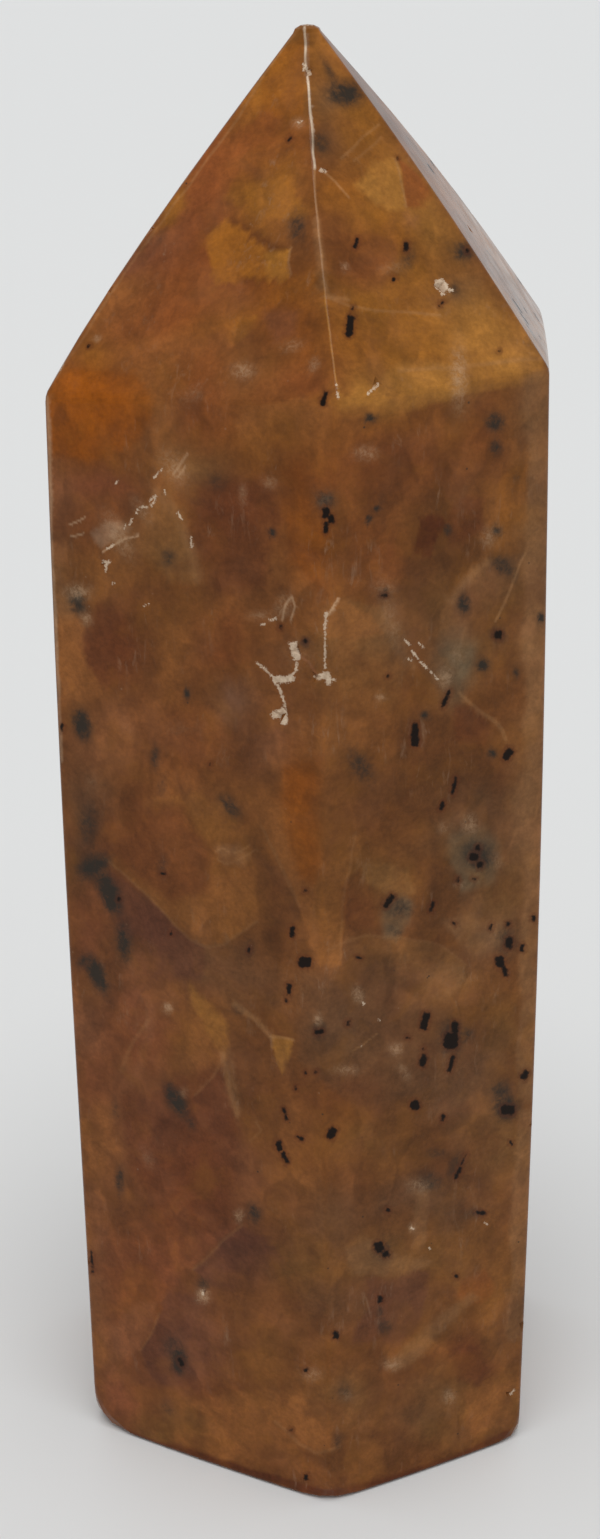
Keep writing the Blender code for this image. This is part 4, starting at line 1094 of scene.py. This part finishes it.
def add_wisps(shader, where, colour):
    """Short milky feathers on two slants, only in places."""
    for turn, size, strength in WISPS:
        streaks = shader.noise(shader.stretched(where, WISP_STRETCH, turn), size, 4, 0.65, 0.5)
        place = shader.between(shader.noise(where, WISP_PLACES, 2), 0.5, 0.7)
        wisp = shader.math("MULTIPLY", shader.between(streaks, 0.56, 0.76, 0.0, strength), place)
        colour = shader.mix(wisp, colour, opaque("haze"))
    return colour


def add_dust(shader, where, colour):
    """Tiny dark and pale grains: a few cells of the noise get one, picked by the cell's own colour."""
    grain = shader.add("TexVoronoi", {"Vector": where, "Scale": 1 / (GRAIN_SPACING * MM)})
    pick = shader.add("SeparateColor", {0: grain.outputs["Color"]}).outputs[1]
    dot = shader.between(grain.outputs["Distance"], 0.09, 0.05)
    dark = shader.math("MULTIPLY", dot, shader.between(pick, 0.93, 0.95, 0.0, DARK_GRAIN))
    pale = shader.math("MULTIPLY", dot, shader.between(pick, 0.05, 0.03, 0.0, PALE_GRAIN))
    return shader.mix(pale, shader.mix(dark, colour, opaque("slate")), opaque("haze"))


def add_blotches(shader, where, colour):
    """Dark blotches and pale veils with feathered outlines."""
    feather = shader.between(shader.noise(where, SMUDGE_FEATHER, 4, 0.7, 0.6), 0.25, 0.75, 0.60, 1.40)
    smudge = shader.math("MULTIPLY", shader.attribute("smudge", "Fac"), feather)
    colour = shader.mix(shader.between(smudge, 0.0, 0.80, 0.0, 0.95), colour, opaque("slate"))
    feather = shader.between(shader.noise(where, VEIL_FEATHER, 4, 0.75, 0.8), 0.3, 0.7, 0.45, 1.50)
    veil = shader.math("MULTIPLY", shader.attribute("veil", "Fac"), feather)
    return shader.mix(shader.between(veil, 0.0, 1.0, 0.0, 0.62), colour, opaque("cream"))


def add_flecks(shader, where, colour):
    """Black flecks with slightly ragged outlines and a stained brown rim, and a mask of where they are."""
    ragged = shader.between(shader.noise(where, FLECK_RAGGEDNESS, 2), 0.3, 0.7, -1.0, 0.5)
    fleck = shader.math("ADD", shader.attribute("fleck", "Fac"), ragged)
    colour = shader.mix(shader.between(fleck, 4.5, 0.5, 0.0, 0.40), colour, opaque("garnet"))
    mask = shader.between(fleck, 0.8, -1.6)
    return shader.mix(mask, colour, opaque("ink")), mask


def add_scars_and_highlight(shader, where, colour):
    """Bruised white scars and the painted highlight at the tip, and a mask of where they are."""
    torn = shader.between(shader.noise(where, SCAR_RAGGEDNESS, 3, 0.7), 0.25, 0.75, -1.6, 1.6)
    scar = shader.math("ADD", shader.attribute("scar", "Fac"), torn)
    bruise = shader.between(shader.noise(where, BRUISE_MOTTLE, 3, 0.7), 0.3, 0.7, 0.55, 1.0)
    mask = shader.math("MULTIPLY", shader.between(scar, 0.6, -0.8, 0.0, 0.9), bruise)
    return shader.mix(mask, colour, opaque("white")), mask


def add_surface(shader, where, fleck_mask, scar_and_highlight_mask):
    """Polish that varies a little and is gone on the bruises and on the painted highlight at the tip, over a
    faintly uneven surface.
    """
    rough = shader.between(shader.noise(where, POLISH_SIZE, 4), 0.3, 0.7, *POLISH)
    rough = shader.math("ADD", rough, shader.math("MULTIPLY", scar_and_highlight_mask, SCAR_ROUGHNESS))
    rough = shader.math("ADD", rough, shader.math("MULTIPLY", fleck_mask, FLECK_ROUGHNESS))
    shader.feed(shader.surface.inputs["Roughness"], rough)
    height = shader.math("MULTIPLY", shader.noise(where, UNEVEN_SIZE, 2), UNEVEN_HEIGHT)
    height = shader.math("SUBTRACT", height, shader.math("MULTIPLY", fleck_mask, FLECK_DEPTH))
    height = shader.math("ADD", height, shader.math("MULTIPLY", scar_and_highlight_mask, SCAR_HEIGHT))
    bump = shader.add("Bump", {"Height": height, "Distance": BUMP_DISTANCE * MM, "Strength": BUMP_STRENGTH})
    shader.feed(shader.surface.inputs["Normal"], bump.outputs[0])
    shader.feed(shader.surface.inputs["IOR"], STONE_IOR)
    shader.feed(shader.surface.inputs["Specular IOR Level"], STONE_GLOSS)


def stone_material():
    """Polished calcite: the placed colours, with a painted ridge highlight and painted foot shade among them,
    with textures in them, then blotches, veils, flecks, and scars with a painted highlight at the tip.
    """
    shader = Shader("calcite")
    where = shader.add("TexCoord", {}).outputs["Object"]
    colour = shader.attribute("tint", "Color")
    for add_texture in (add_clouding, add_facets, add_wisps, add_dust, add_blotches):
        colour = add_texture(shader, where, colour)
    colour, fleck_mask = add_flecks(shader, where, colour)
    colour, scar_and_highlight_mask = add_scars_and_highlight(shader, where, colour)
    shader.feed(shader.surface.inputs["Base Color"], colour)
    add_surface(shader, where, fleck_mask, scar_and_highlight_mask)
    return shader.material


def plain_material(name, colour, roughness):
    shader = Shader(name)
    shader.feed(shader.surface.inputs["Base Color"], (*colour, 1))
    shader.feed(shader.surface.inputs["Roughness"], roughness)
    return shader.material


def add_floor():
    half = FLOOR_SIZE / 2
    corners = [(-half, -half, 0), (half, -half, 0), (half, half, 0), (-half, half, 0)]
    mesh = bpy.data.meshes.new("floor")
    mesh.from_pydata(corners, [], [(0, 1, 2, 3)])
    floor = bpy.data.objects.new("floor", mesh)
    bpy.context.scene.collection.objects.link(floor)
    floor.data.materials.append(plain_material("floor", FLOOR_COLOUR, FLOOR_ROUGHNESS))
    return floor


def add_overhead():
    """One broad soft light from above, the same everywhere on the floor."""
    light = bpy.data.lights.new("overhead", "SUN")
    light.energy = OVERHEAD_STRENGTH
    light.angle = OVERHEAD_SPREAD
    lamp = bpy.data.objects.new("overhead", light)
    lamp.rotation_euler = Vector(OVERHEAD_FROM).to_track_quat("Z", "Y").to_euler()
    bpy.context.scene.collection.objects.link(lamp)


def light_studio():
    """A pale even sky all round, and the light from above."""
    world = bpy.data.worlds.new("studio")
    bpy.context.scene.world = world
    world.use_nodes = True
    background = world.node_tree.nodes["Background"]
    background.inputs["Color"].default_value = (*SKY_COLOUR, 1)
    background.inputs["Strength"].default_value = SKY_STRENGTH
    add_overhead()
    bpy.context.scene.view_settings.view_transform = "Standard"


def add_camera():
    """The photo's camera, whose sensor size is that of the picture's longer side."""
    right, up, forward = photo_axes()
    camera = bpy.data.cameras.new("camera")
    camera.sensor_width = SENSOR_SIZE
    camera.lens = FOCAL_PIXELS * SENSOR_SIZE / PHOTO_HEIGHT
    camera.clip_start = CLIP_NEAR
    camera.clip_end = CLIP_FAR
    eye = bpy.data.objects.new("camera", camera)
    turn = Matrix((right, up, -forward)).transposed()
    eye.matrix_world = Matrix.Translation(CAMERA_AT * MM) @ turn.to_4x4()
    bpy.context.scene.collection.objects.link(eye)
    bpy.context.scene.camera = eye


SIGHTS = [Sight(0, Marks(CLOUDS, PATCHES, SMUDGES, VEILS, LINES, SCARS_AND_TIP_HIGHLIGHT, FLECKS))]
for degrees, seed in HIDDEN_SIDES:
    SIGHTS.append(Sight(math.radians(degrees), chance_marks(seed)))

stone = stone_piece(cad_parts["calcite_point"])
stone.data.materials.append(stone_material())
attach(stone, "root")
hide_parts("calcite_point")
add_floor()
light_studio()
add_camera()
